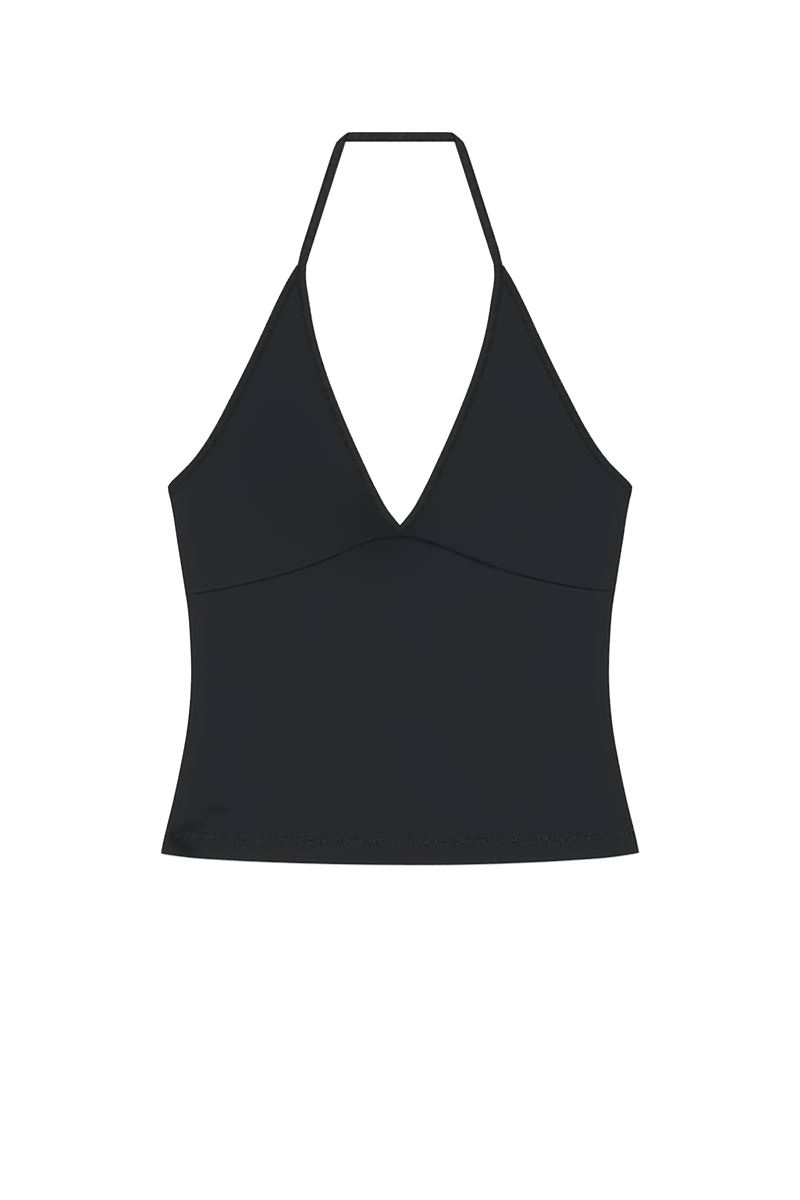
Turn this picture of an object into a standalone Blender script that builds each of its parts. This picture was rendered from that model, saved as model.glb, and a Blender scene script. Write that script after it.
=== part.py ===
"""Halter neck top in stretch jersey, laid flat with its front up.

Two triangular cups and a lower front lie on a back with a scooped top edge. One folded strip binds the neck
edges and runs round the neck as the strap. Another binds the armholes and the top of the back.

+Z is up, +Y runs from the hem to the neck, and the origin is on the surface that the top lies on, below the
middle of its outline. Sizes and tables are in millimetres, and the meshes are made in metres.
"""

import math

import bmesh
import bpy
import numpy as np

METRES_PER_MM = 0.001

# Walls, measured through the cloth
CLOTH = 1.0
HEM_WALL = 1.6
BINDING_WALL = 1.5
STRAP_WALL = 1.2

# How the layers lie
SEAM_GAP = 0.3
LOFT = 1.2  # how far the front stands off the back along the middle
LOFT_FADE = 60.0  # the height above the hem over which the loft grows
DROP = 25.0  # how far past the back's top edge the front comes down to the surface

# Strips and hem
BINDING_WIDTH = 7.5
STRAP_WIDTH = 7.6
HEM_DEPTH = 17.0
HEM_STEP = 2.0  # the height over which the turned-up hem thins to one layer

# The outline, as half its width x at each height y
ARMHOLE_EDGE = (
    # y, x
    (191.5, 84.7),
    (182.0, 90.7),
    (162.4, 100.9),
    (136.1, 113.1),
    (109.9, 125.5),
    (83.6, 138.8),
    (57.4, 152.7),
    (44.3, 160.8),
    (31.2, 170.6),
    (18.0, 183.2),
    (10.4, 190.1),
    (-4.0, 203.0),  # past the underarm, so that the strip's inner edge meets the side seam
)
SIDE_EDGE = (
    # y, x
    (10.4, 190.1),
    (7.0, 190.3),
    (2.5, 189.2),
    (-9.8, 186.7),
    (-34.4, 182.9),
    (-67.2, 177.7),
    (-91.8, 174.0),
    (-116.4, 172.2),
    (-141.0, 171.4),
    (-165.6, 172.3),
    (-190.2, 174.9),
    (-214.8, 179.2),
    (-247.6, 186.1),
    (-280.4, 194.0),
    (-288.2, 195.6),
    (-290.9, 196.0),
)
NECK_EDGE = (
    # y, x
    (191.5, 76.6),
    (182.0, 77.0),
    (162.4, 74.4),
    (136.1, 69.8),
    (109.9, 62.5),
    (70.5, 47.9),
    (31.2, 30.6),
    (6.6, 18.8),
    (-9.8, 9.5),
    (-21.7, 0.0),
    (-33.0, -9.6),  # past the point of the V, where the strip's two ends are mitred
)
APEX_Y = 191.5
V_POINT_Y = -21.7
UNDERARM_Y = 10.4

# Seams and edges that cross the front, as the height y at each x
UNDERBUST_SEAM = (
    # x, y
    (-177.0, -79.4),
    (-126.3, -70.1),
    (-87.0, -59.6),
    (-58.0, -49.2),
    (-35.3, -38.9),
    (-20.5, -33.9),
    (0.0, -31.6),
    (25.4, -36.6),
    (56.6, -48.7),
    (82.8, -58.3),
    (109.1, -65.6),
    (135.3, -71.3),
    (177.0, -76.4),
)
HEM_EDGE = (
    # x, y
    (-196.0, -290.9),
    (-178.6, -293.5),
    (-136.5, -296.7),
    (-96.8, -298.4),
    (-45.0, -299.8),
    (0.0, -300.3),
    (45.0, -300.2),
    (96.8, -298.7),
    (136.5, -296.7),
    (178.6, -293.2),
    (196.0, -290.3),
)

# The back's top edge dips from the underarms to the middle as a power of x
BACK_EDGE_Y = 7.5
BACK_DIP_Y = -40.0
BACK_DIP_POWER = 2.2

# The strap lies as two legs that lean in, folded over a stretch behind the neck
STRAP_END = (80.9, 191.8)  # the middle of a leg's lower end
STRAP_CORNER = (47.5, 296.3)  # where the strip's middle line turns
STRAP_COME_DOWN = (276.0, 292.0)  # the heights between which a leg comes down off the stretch below it
STRAP_STATIONS = (
    # how far along from the corner, and how much of the corner's slant the station has
    (-47.5, 0.0),
    (-30.0, 0.0),
    (-18.0, 0.4),
    (-8.0, 1.0),
)
LEG_STATIONS = (
    (8.0, 1.0),
    (14.0, 0.6),
    (19.0, 0.3),
    (25.0, 0.0),
    (45.0, 0.0),
    (75.0, 0.0),
)
FOLD_STEPS = 8

JERSEY = {"color": (0.0212, 0.0232, 0.0273, 1.0), "roughness": 0.85}
RIB = {"color": (0.0290, 0.0290, 0.0296, 1.0), "roughness": 0.80}

# Where the pieces are cut into columns, as shares of their width. A cup and the lower front share theirs, so
# that they stay parallel along the seam between them.
CUP_COLUMNS = np.linspace(0, 1, 13) ** 1.3
MITRE_SHARE = 0.012  # the share of the half width that the mitred neck binding takes up at the seam
HALF_COLUMNS = MITRE_SHARE + (1 - MITRE_SHARE) * CUP_COLUMNS
BODY_COLUMNS = np.concatenate((0.5 - 0.5 * HALF_COLUMNS[::-1], 0.5 + 0.5 * HALF_COLUMNS))
BINDING_COLUMNS = (0.0, 0.5, 1.0)

MEETING_STEPS = 12
SLOPE_STEP = 0.5


def smooth_curve(rows):
    """A function through the rows' (at, value) points that has no corner at any of them."""
    at, value = np.array(sorted(rows), float).T
    slope = np.gradient(value, at, edge_order=2)

    def curve(where):
        where = min(max(where, at[0]), at[-1])
        span = min(np.searchsorted(at, where, side="right"), len(at) - 1) - 1
        width = at[span + 1] - at[span]
        share = (where - at[span]) / width
        left = (1 + 2 * share) * value[span] + share * slope[span] * width
        right = (3 - 2 * share) * value[span + 1] - (1 - share) * slope[span + 1] * width
        return (1 - share) ** 2 * left + share**2 * right

    return curve


def moved(curve, by):
    """The curve moved along its own axis of values."""
    return lambda where: curve(where) + by


def inset(curve, width):
    """The curve moved square to itself, by a width that is negative on its lower side."""

    def inner(where):
        slope = (curve(where + SLOPE_STEP) - curve(where - SLOPE_STEP)) / (2 * SLOPE_STEP)
        return curve(where) + width * math.hypot(1, slope)

    return inner


def smooth_step(value, start, end):
    share = min(max((value - start) / (end - start), 0.0), 1.0)
    return share * share * (3 - 2 * share)


armhole_edge = smooth_curve(ARMHOLE_EDGE)
side_edge = smooth_curve(SIDE_EDGE)
neck_edge = smooth_curve(NECK_EDGE)
underbust_seam = smooth_curve(UNDERBUST_SEAM)
hem_edge = smooth_curve(HEM_EDGE)
neck_seam = inset(neck_edge, BINDING_WIDTH)
armhole_seam = inset(armhole_edge, -BINDING_WIDTH)


def back_edge(x):
    share = abs(x) / side_edge(BACK_EDGE_Y)
    return BACK_DIP_Y + (BACK_EDGE_Y - BACK_DIP_Y) * share**BACK_DIP_POWER


back_seam = inset(back_edge, -BINDING_WIDTH)


def panel_wall(x, y):
    """The thickness of a panel, whose own cloth is turned up along the hem."""
    above_hem = y - hem_edge(x)
    return HEM_WALL - (HEM_WALL - CLOTH) * smooth_step(above_hem, HEM_DEPTH, HEM_DEPTH + HEM_STEP)


def loft(x, y):
    """How far the front stands off the back, which is nothing at the sides and along the hem."""
    across = max(0.0, 1 - (x / side_edge(y)) ** 2)
    return LOFT * across * smooth_step(y - hem_edge(x), 0, LOFT_FADE)


def front_underside(x, y):
    """The height at which the front lies: on the back, and past the back's top edge on the surface."""
    on_back = panel_wall(x, y) + SEAM_GAP + loft(x, y)
    edge = back_edge(x)
    return on_back * (1 - smooth_step(y, edge, edge + DROP))


def back_underside(_x, _y):
    return 0.0


def blend(low, high, share):
    return lambda x: (1 - share) * low(x) + share * high(x)


def level(y):
    return lambda _x: y


def spread(low, high, shares):
    """Curves y(x) from one curve to another, at the given shares of the way."""
    return [blend(low, high, share) for share in shares]


def meeting(edge, curve):
    """The x at which the edge x(y) meets the curve y(x)."""
    x = 0.0
    for _ in range(MEETING_STEPS):
        x = edge(curve(x))
    return x


def flat_points(columns, rows, left, right):
    """The points (x, y) of a piece, row by row along its curves y(x), from one edge x(y) to the other."""
    points = []
    for row in rows:
        start, end = meeting(left, row), meeting(right, row)
        places = [start + share * (end - start) for share in columns]
        points.append([(x, row(x)) for x in places])
    return points


def wall_points(places, underside, wall):
    """The lower and the upper points of a piece that lies at one height and is as thick as its wall."""
    lower = [[(x, y, underside(x, y)) for x, y in row] for row in places]
    upper = [[(x, y, z + wall(x, y)) for x, y, z in row] for row in lower]
    return lower, upper


def fabric(name, color, roughness):
    material = bpy.data.materials.new(name)
    material.use_nodes = True
    surface = material.node_tree.nodes["Principled BSDF"]
    surface.inputs["Base Color"].default_value = color
    surface.inputs["Roughness"].default_value = roughness
    surface.inputs["Metallic"].default_value = 0.0
    return material


def cloth(name, lower, upper, finish, collection):
    """One closed piece of cloth: a grid laid on its lower points, extruded to its upper ones."""
    rows, columns = len(lower) - 1, len(lower[0]) - 1
    shape = bmesh.new()
    bmesh.ops.create_grid(shape, x_segments=columns, y_segments=rows, size=0.5)
    grid_place = shape.verts.layers.float_vector.new("grid_place")
    for vert in shape.verts:
        vert[grid_place] = (round((vert.co.x + 0.5) * columns), round((vert.co.y + 0.5) * rows), 0)
    raised = bmesh.ops.extrude_face_region(shape, geom=shape.faces[:])["geom"]
    raised = [item for item in raised if isinstance(item, bmesh.types.BMVert)]
    bmesh.ops.translate(shape, verts=raised, vec=(0, 0, 1))
    bmesh.ops.recalc_face_normals(shape, faces=shape.faces)
    for vert in shape.verts:
        column, row, _ = (int(place) for place in vert[grid_place])
        points = upper if vert.co.z > 0 else lower
        vert.co = [size * METRES_PER_MM for size in points[row][column]]
    if shape.calc_volume(signed=True) < 0:
        bmesh.ops.reverse_faces(shape, faces=shape.faces)
    shape.verts.layers.float_vector.remove(grid_place)
    mesh = bpy.data.meshes.new(name)
    shape.to_mesh(mesh)
    shape.free()
    mesh.materials.append(fabric(name, **finish))
    piece = bpy.data.objects.new(name, mesh)
    collection.objects.link(piece)
    return piece


def mirrored(edge, hand):
    """The edge x(y) on the given side, +1 for the side at +X."""
    return lambda y: hand * edge(y)


def back_panel(collection):
    top = moved(back_seam, -SEAM_GAP)
    hem_top = moved(hem_edge, HEM_DEPTH + HEM_STEP)
    rows = [hem_edge, moved(hem_edge, HEM_DEPTH), *spread(hem_top, top, np.linspace(0, 1, 13))]
    places = flat_points(BODY_COLUMNS, rows, mirrored(side_edge, -1), side_edge)
    cloth("back_panel", *wall_points(places, back_underside, panel_wall), JERSEY, collection)


def back_binding(collection):
    rows = spread(back_seam, back_edge, (0, 1))
    places = flat_points(BODY_COLUMNS, rows, mirrored(side_edge, -1), side_edge)
    cloth("back_binding", *wall_points(places, back_underside, panel_wall), RIB, collection)


def front_body(collection):
    top = moved(underbust_seam, -SEAM_GAP / 2)
    hem_top = moved(hem_edge, HEM_DEPTH + HEM_STEP)
    rows = [hem_edge, moved(hem_edge, HEM_DEPTH), *spread(hem_top, top, np.linspace(0, 1, 14))]
    places = flat_points(BODY_COLUMNS, rows, mirrored(side_edge, -1), side_edge)
    cloth("front_body", *wall_points(places, front_underside, panel_wall), JERSEY, collection)


def cup(name, hand, collection):
    """A triangular upper front, from the underbust seam to its tip between the two bindings."""
    inner = inset(neck_edge, BINDING_WIDTH + SEAM_GAP)
    armhole = inset(armhole_edge, -BINDING_WIDTH - SEAM_GAP)

    def outer(y):
        return min(armhole(y), side_edge(y))

    tip_y = meeting_height(inner, outer, UNDERARM_Y, APEX_Y)
    corner_y = meeting_height(side_edge, armhole, V_POINT_Y, UNDERARM_Y)
    bottom = moved(underbust_seam, SEAM_GAP / 2)
    side_end_y = bottom(hand * side_edge(corner_y))
    corner_share = (corner_y - side_end_y) / (tip_y - side_end_y)
    shares = (*np.linspace(0, corner_share, 8)[:-1], *np.linspace(corner_share, 1, 15))
    rows = spread(bottom, level(tip_y), shares)
    places = flat_points(CUP_COLUMNS, rows, mirrored(inner, hand), mirrored(outer, hand))
    cloth(name, *wall_points(places, front_underside, panel_wall), JERSEY, collection)


def meeting_height(low_edge, high_edge, start, end):
    """The height between start and end at which the two edges come within a seam's gap of each other."""
    for _ in range(MEETING_STEPS * 2):
        middle = (start + end) / 2
        if high_edge(middle) - low_edge(middle) > SEAM_GAP:
            start = middle
        else:
            end = middle
    return start


def binding_wall(_x, _y):
    return BINDING_WALL


def neck_binding(name, hand, collection):
    """The strip along one neck edge, from its mitre on the middle line up to the strap."""

    def outer(y):
        return max(neck_edge(y), SEAM_GAP / 2)

    rows = [
        moved(underbust_seam, SEAM_GAP / 2),
        level(V_POINT_Y - 5),
        *(level(y) for y in np.linspace(V_POINT_Y, APEX_Y, 25)),
    ]
    places = flat_points(BINDING_COLUMNS, rows, mirrored(outer, hand), mirrored(neck_seam, hand))
    cloth(name, *wall_points(places, front_underside, binding_wall), RIB, collection)


def armhole_binding(name, hand, collection):
    """The strip along one armhole edge, from the side seam up to where it goes under the neck binding."""
    neck_side = inset(neck_edge, BINDING_WIDTH + SEAM_GAP)

    def inner(y):
        return max(armhole_seam(y), neck_side(y))

    def outer(y):
        return min(armhole_edge(y), side_edge(y))

    top_y = meeting_height(neck_side, outer, UNDERARM_Y, APEX_Y)
    bottom_y = meeting_height(side_edge, armhole_seam, V_POINT_Y, UNDERARM_Y)
    heights = (*np.linspace(bottom_y + SEAM_GAP, UNDERARM_Y, 5)[:-1], *np.linspace(UNDERARM_Y, top_y, 18))
    rows = [level(y) for y in heights]
    places = flat_points(BINDING_COLUMNS, rows, mirrored(inner, hand), mirrored(outer, hand))
    cloth(name, *wall_points(places, front_underside, binding_wall), RIB, collection)


class FoldedStrip:
    """Half of the strap: a flat strip along +X, folded over at a corner so that it goes on as a leg."""

    def __init__(self):
        corner, end = np.array(STRAP_CORNER), np.array(STRAP_END)
        self.corner = corner
        self.leg_length = float(np.linalg.norm(end - corner))
        self.leg_angle = math.atan2(*(end - corner)[::-1])
        # A fold's line halves the angle between the strip's way in and its way out.
        self.across_fold = np.array((-math.sin(self.leg_angle / 2), math.cos(self.leg_angle / 2)))
        self.slant = -self.across_fold[1] / self.across_fold[0]
        self.fold_radius = (STRAP_WALL + SEAM_GAP) / 2
        self.end_slant = 1 / math.tan(self.leg_angle)

    def stations(self):
        """Where the strip is cut across, as rows of the way past the corner and the slant of the cut."""
        bend = math.pi / 2 * self.fold_radius / self.across_fold[0]
        fold = [(along, 1.0) for along in np.linspace(-bend, bend, FOLD_STEPS + 1)]
        rows = [(along, share * self.slant) for along, share in (*STRAP_STATIONS, *fold, *LEG_STATIONS)]
        return [*rows, (self.leg_length, self.end_slant)]

    def points(self, along, across):
        """The lower and the upper point at a place on the strip that is flat, measured from its corner."""
        from_corner = np.array((along, across))
        past_fold = float(from_corner @ self.across_fold)
        bend = math.pi / 2 * self.fold_radius
        turn = min(max((past_fold + bend) / self.fold_radius, 0.0), math.pi)
        if past_fold < -bend:
            reach = past_fold
        elif past_fold > bend:
            reach = -past_fold
        else:
            reach = self.fold_radius * math.sin(turn) - bend
        flat = self.corner + from_corner + (reach - past_fold) * self.across_fold
        lift = self.fold_radius * (1 - math.cos(turn))
        if turn == math.pi:
            lift *= smooth_step(flat[1], *STRAP_COME_DOWN)
        facing = np.array((*(-math.sin(turn) * self.across_fold), math.cos(turn)))
        middle = np.array((*flat, STRAP_WALL / 2 + lift))
        return middle - facing * STRAP_WALL / 2, middle + facing * STRAP_WALL / 2


def neck_strap(collection):
    strip = FoldedStrip()
    lower, upper = [], []
    for along, slant in strip.stations():
        offsets = np.linspace(-STRAP_WIDTH / 2, STRAP_WIDTH / 2, 3)
        pairs = [strip.points(along + slant * across, across) for across in offsets]
        lower.append([tuple(low) for low, _ in pairs])
        upper.append([tuple(high) for _, high in pairs])
    lower, upper = (both_halves(rows) for rows in (lower, upper))
    cloth("neck_strap", lower, upper, RIB, collection)


def both_halves(rows):
    """The strap's rows from one end to the other, from those of its half at +X, which start on the middle line."""
    other = [[(-x, y, z) for x, y, z in row] for row in rows[:0:-1]]
    return other + rows


def clear_scene():
    for item in list(bpy.data.objects):
        bpy.data.objects.remove(item)


def main():
    clear_scene()
    collection = bpy.data.collections.new("halter_neck_top")
    bpy.context.scene.collection.children.link(collection)
    back_panel(collection)
    back_binding(collection)
    front_body(collection)
    neck_strap(collection)
    for side, hand in (("left", -1), ("right", 1)):
        cup(f"cup_{side}", hand, collection)
        neck_binding(f"neck_binding_{side}", hand, collection)
        armhole_binding(f"armhole_binding_{side}", hand, collection)


main()
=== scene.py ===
"""Halter neck top in stretch jersey, laid flat with its front up: its cloth, bindings, sewing and stage.

The frame holds the top's solids. Each piece here is the finished cloth of one or more of them, on the same
outline. +Z is up, +Y runs from the hem to the neck, and the top lies on the surface at z = 0. The tables of the
top's lines are in millimetres, and every other length is in metres.
"""

import math

import bmesh
import bpy
import numpy as np
from bpy.props import FloatProperty, FloatVectorProperty, PointerProperty
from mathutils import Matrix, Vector, noise


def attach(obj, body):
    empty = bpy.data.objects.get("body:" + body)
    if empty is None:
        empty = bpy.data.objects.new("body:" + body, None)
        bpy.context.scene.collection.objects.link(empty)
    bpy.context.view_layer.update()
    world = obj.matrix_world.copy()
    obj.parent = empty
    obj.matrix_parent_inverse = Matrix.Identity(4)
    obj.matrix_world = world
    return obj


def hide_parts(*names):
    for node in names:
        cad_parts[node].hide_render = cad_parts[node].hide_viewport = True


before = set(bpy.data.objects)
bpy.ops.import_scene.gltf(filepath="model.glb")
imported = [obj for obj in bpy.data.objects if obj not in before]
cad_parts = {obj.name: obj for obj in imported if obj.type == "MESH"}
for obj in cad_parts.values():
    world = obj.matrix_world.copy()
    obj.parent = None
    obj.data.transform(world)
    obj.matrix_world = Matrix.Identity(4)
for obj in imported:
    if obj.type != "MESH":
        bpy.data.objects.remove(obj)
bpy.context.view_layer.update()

bl_info = {
    "name": "Halter Neck Top",
    "version": (1, 0, 0),
    "blender": (4, 5, 0),
    "location": "3D View > Sidebar > Halter Top",
    "description": "Builds the cloth, bindings, sewing and stage of a jersey halter neck top laid flat",
    "category": "Add Mesh",
}

MM = 0.001
BODY = "root"

# The outline, as half its width x at each height y
ARMHOLE_EDGE = (
    # y, x
    (191.5, 84.7),
    (182.0, 90.7),
    (162.4, 100.9),
    (136.1, 113.1),
    (109.9, 125.5),
    (83.6, 138.8),
    (57.4, 152.7),
    (44.3, 160.8),
    (31.2, 170.6),
    (18.0, 183.4),
    (13.1, 188.2),
    (10.4, 190.1),
    (-4.0, 203.0),  # past the underarm, so that the strip's inner edge meets the side seam
)
SIDE_EDGE = (
    # y, x
    (10.4, 190.1),
    (7.0, 190.3),
    (2.5, 189.2),
    (-9.8, 186.7),
    (-34.4, 182.9),
    (-67.2, 177.7),
    (-91.8, 174.0),
    (-116.4, 172.2),
    (-141.0, 171.4),
    (-165.6, 172.3),
    (-190.2, 174.9),
    (-214.8, 179.2),
    (-247.6, 186.1),
    (-280.4, 194.0),
    (-288.2, 195.6),
    (-290.9, 196.0),
)
NECK_EDGE = (
    # y, x
    (191.5, 76.6),
    (182.0, 77.0),
    (162.4, 74.4),
    (136.1, 69.8),
    (109.9, 62.5),
    (70.5, 47.9),
    (31.2, 30.6),
    (6.6, 18.8),
    (-9.8, 9.5),
    (-21.7, 0.0),
    (-33.0, -9.6),  # past the point of the V, where the strip is mitred
)
APEX_Y = 191.5 * MM
V_POINT_Y = -21.7 * MM
UNDERARM_Y = 10.4 * MM

# Seams and edges that cross the front, as the height y at each x
UNDERBUST_SEAM = (
    # x, y
    (-177.0, -79.4),
    (-126.3, -70.1),
    (-87.0, -59.6),
    (-58.0, -49.2),
    (-35.3, -38.9),
    (-20.5, -33.9),
    (0.0, -31.6),
    (25.4, -36.6),
    (56.6, -48.7),
    (82.8, -58.3),
    (109.1, -65.6),
    (135.3, -71.3),
    (177.0, -76.4),
)
HEM_EDGE = (
    # x, y
    (-196.0, -290.9),
    (-178.6, -293.5),
    (-136.5, -296.7),
    (-96.8, -298.4),
    (-45.0, -299.8),
    (0.0, -300.3),
    (45.0, -300.2),
    (96.8, -298.7),
    (136.5, -296.7),
    (178.6, -293.2),
    (196.0, -290.3),
)
BACK_EDGE_Y = 7.5 * MM
BACK_DIP_Y = -40.0 * MM
BACK_DIP_POWER = 2.2

# How the layers lie
LAYER_WALL = 1.0 * MM  # one layer of the back, with its air, as the front rests on it
LAYER_HEM_WALL = 1.6 * MM
LAYER_GAP = 0.3 * MM
LOFT = 1.2 * MM
LOFT_FADE = 60.0 * MM
DROP = 25.0 * MM  # how far past the back's top edge the front comes down to the surface
SIDE_SETTLE = 6.0 * MM  # how far in from a side seam the front has left the back
HEM_STEP = 2.0 * MM
SIDE_SHARE = 0.1  # the share of its wall that a panel keeps at a side seam
THINNEST = 0.08 * MM
SKIM = 0.02 * MM  # the play between cloths that are sewn on each other

# The seam under the bust: the lower front's edge goes on under the cups
FLANGE = 2.6 * MM
FLANGE_WALL = 0.34 * MM
FLANGE_FADE = 2.6 * MM
SEAM_ROLL = 1.5 * MM
CUP_ROLL = 1.2 * MM
SEAM_FADE = (2.5 * MM, 11.0 * MM)  # the seam's groove runs out between these distances from the outline
CUP_TIP_Y = 186.5 * MM  # where a cup's cloth ends inside the strips
UNDERARM_BLEND = (UNDERARM_Y - 6 * MM, UNDERARM_Y + 14 * MM)

# The panels' grids
HEM_ROWS_REACH = 60.0 * MM  # how far above the hem the rows follow it
PANEL_ROWS = 62
CUP_ROWS = 118
FRONT_COLUMNS = (150, 0.85)  # how many, and how much closer they lie towards the sides
BACK_COLUMNS = (130, 0.85)
CUP_COLUMNS = (92, 0.9)

# A folded strip, whose two lips hold the cloth's edge between them
LOWER_LIP = 0.30 * MM
UPPER_LIP = 0.60 * MM
SLOT = 0.60 * MM
STRIP_WALL = LOWER_LIP + SLOT + UPPER_LIP
SLOT_OVER_STRIP = STRIP_WALL + 2 * SKIM  # the neck strip's slot where it holds the armhole strip too
SLOT_START = 1.4 * MM
SLOT_TURN = 0.3 * MM
FOLD_DEPTH = 0.9 * MM
LIP_FADE = 3.0 * MM
LIP_SAG = 0.25  # how much lower the upper lip is at its end, as a share of its thickness
LIP_TURN = 0.04 * MM
CLOTH_IN_SLOT = 0.54 * MM
EDGE_IN_SLOT = 2.2 * MM  # how far inside a strip's fold the cloth's edge lies
CHANNEL_DEPTH = 0.26 * MM
CHANNEL_REACH = 0.42 * MM
CROWN = 0.10 * MM
# Painted shade in the sewing's channel at each stitch, and a painted highlight in the gaps between stitches
STITCH_DARK = 1.5
GAP_LIGHT = 1.25
STITCH_REACH = 0.62 * MM
PAST_LINE_SHADE = 0.13  # how much darker a strip's lip is beyond its sewing
LIP_SHADE = (0.04, 0.34)  # how much darker the lip's end is between two stitches, and at the darkest stitch
FLAT_SHADE = 0.085  # how much darker a strip is past the light on its fold
FLAT_START = (2.6 * MM, 3.4 * MM)  # the distances in from the fold over which that begins
SEWN_TO = 4.8 * MM  # how near a side seam an armhole strip's sewing comes
STRAP_LIGHT = 0.12  # how much lighter the plain strap is
STRAP_SLOPE = 0.09  # how much lighter still a leg is at its inner edge, and how much less at its outer one
STRAP_MOTTLE = (0.55, 400.0)  # how uneven the strap's shade is, and the patches' number in a metre
UNDERSIDE_SINK = 2.0  # how far a thread lies in the underside, in radiuses, so that the top still lies flat
PUCKER = 0.5  # the share of its depth that the channel loses halfway between two needle holes
END_SHARE = 0.12  # the share of its thickness that a strip keeps at a side seam
TIP_ROOM = 1.6 * MM  # what the armhole strip leaves free of the neck edge at a cup's tip
ARMHOLE_END_Y = -3.2 * MM  # the armhole strip runs on to here, and is cut off along the side seam
SIDE_CUT_Y = (2.5 * MM, 8.5 * MM)  # the two heights at which that straight cut meets the side seam

# The back's strip lies under the front, and is pressed thinner
BACK_LOWER_LIP = 0.24 * MM
BACK_CLOTH_IN_SLOT = 0.36 * MM
BACK_UPPER_LIP = 0.30 * MM
BACK_FOLD_DEPTH = 0.6 * MM
BACK_PULL = 0.45  # how deep its sewing draws it in, as a share of another strip's
BACK_LENGTH_SHARE = 1.06  # how much longer its curve is than its chord, at most

# The strap lies as two legs that lean in, folded over a stretch behind the neck
STRAP_END = np.array((80.9, 191.8)) * MM
STRAP_CORNER = np.array((47.5, 296.5)) * MM
STRAP_SPREAD = 0.08  # how much wider the strip lies where nothing is sewn into it
STRAP_COME_DOWN = (276.0 * MM, 292.0 * MM)
STRAP_WALL = 1.2 * MM
STRAP_SLANT_FADE = (9.0 * MM, 30.0 * MM)
STRAP_END_BLEND = 14.0 * MM
LEG_START = 20.0 * MM  # how far from its fold a leg may begin to thicken
SEWN_BELOW = 192.0 * MM  # the strip is sewn up to the strap
STRAP_PLIES = (186.0 * MM, 204.0 * MM)  # the heights over which the strip thins from the cup's tip to the strap
CREASE_PINCH = 0.05  # how much narrower the strap is on its crease
CREASE_PINCH_REACH = 1.6 * MM
CREASE_TILT = 0.14  # how much the crease's outer end is drawn in
CREASE_TILT_REACH = 3.2 * MM
CREASE_SHADE = 0.8  # how dark the crease is, as a share of an outline's shade
LEG_SHADE = 0.16  # how much darker the stretch behind the neck is beside the legs that lie on it
LEG_SHADE_REACH = 12.0 * MM
TIP_PLIES = (150.0 * MM, 172.0 * MM)  # the heights over which the neck strip thickens round the armhole strip

# The mitre at the point of the V
MITRE_LEAN = 1.2 * MM
MITRE_START = (3.9 * MM, 5.3 * MM)  # how far below the V's point the mitre's groove begins and is at its depth
MITRE_REACH = 0.45 * MM
MITRE_DEPTH = 0.30 * MM
MITRE_CUTS = (0.45 * MM, 0.95 * MM, 1.6 * MM)
MITRE_SHADES = (0.7, 0.45)  # how much darker the groove is painted, and how strong the painted highlight beside it is
V_LINE_SHIFT = 3.2 * MM  # how much nearer its fold the strip is sewn at the point of the V
V_LINE_START = (20.5 * MM, 26.0 * MM)  # how far below y = 0 that begins and is complete
V_SHADE = 0.30  # how much darker the strip is beyond its sewing there
V_SHADE_REACH = (-9 * MM, 2 * MM)  # it begins so far above the V's point, and is complete so far below it

# Soft hollows and swells in the front
CREASES = (
    # x, y, degrees, half length, half width, height
    (-162.0, -269.0, 32.0, 44.0, 20.0, 0.85),
    (-175.0, -270.0, 19.0, 15.0, 4.6, -0.44),
    (-179.0, -284.0, -32.0, 12.5, 5.8, -0.80),
    (-151.0, -255.5, 2.0, 10.5, 3.6, -0.36),
    (162.0, -262.0, -35.0, 30.0, 14.0, 0.25),
    (-150.0, -30.0, 62.0, 46.0, 13.0, 0.22),
    (148.0, -26.0, -58.0, 42.0, 12.0, 0.18),
    (-42.0, -86.0, 12.0, 40.0, 16.0, 0.20),
    (60.0, -104.0, -16.0, 52.0, 20.0, 0.16),
)

# Painted shade where the cloth turns down at the outline, and a painted highlight a little further in where its
# turn would catch the light
OUTLINE_SHADE = (1.3 * MM, 2.1 * MM)
OUTLINE_LIGHT = (2.4 * MM, 0.7 * MM, 0.44)  # its distance in from the edge, half its width and its strength
SIDE_GLOW = (4.0 * MM, 20.0 * MM)  # painted light: the cloth near a side seam is painted lighter up to these distances
HEM_GLOW = (3.0 * MM, 18.0 * MM)
GLOW = 0.13  # how much lighter the painted glow makes it

# Broad painted shade, laid on the front in soft patches
PAINTED_SHADE_PATCHES = (
    # x, y, half length, half width, shade
    (-16.0, -24.0, 50.0, 46.0, 0.31),
    (-98.0, 32.0, 50.0, 84.0, 0.22),
    (72.0, 6.0, 50.0, 60.0, 0.05),
)

# The groove under the bust has painted shade that is uneven, so it has a width and a depth of shade at each x
SEAM_OPENING = (
    # x, width, depth
    (-177.0, 0.9, 0.62),
    (-156.0, 1.0, 0.85),
    (-140.0, 1.2, 0.6),
    (-110.0, 1.6, 0.64),
    (-92.0, 1.9, 0.38),
    (-66.0, 1.6, 0.68),
    (-53.0, 1.6, 0.55),
    (-45.0, 2.2, 0.2),
    (-30.0, 2.2, 0.22),
    (-20.0, 2.0, 0.38),
    (-13.0, 2.6, 0.34),
    (-8.0, 4.2, 0.28),
    (0.0, 3.6, 0.22),
    (10.0, 4.4, 0.27),
    (14.0, 3.0, 0.34),
    (22.0, 2.7, 0.54),
    (26.0, 2.9, 0.9),
    (30.0, 2.5, 0.68),
    (36.0, 2.4, 0.42),
    (43.0, 3.0, 0.45),
    (50.0, 2.3, 0.7),
    (60.0, 3.2, 0.62),
    (67.0, 4.2, 0.57),
    (75.0, 3.2, 0.45),
    (84.0, 1.9, 0.4),
    (95.0, 1.8, 0.52),
    (106.0, 1.2, 0.92),
    (123.0, 1.3, 0.85),
    (140.0, 1.2, 0.9),
    (158.0, 1.2, 0.75),
    (177.0, 1.0, 0.6),
)
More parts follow.
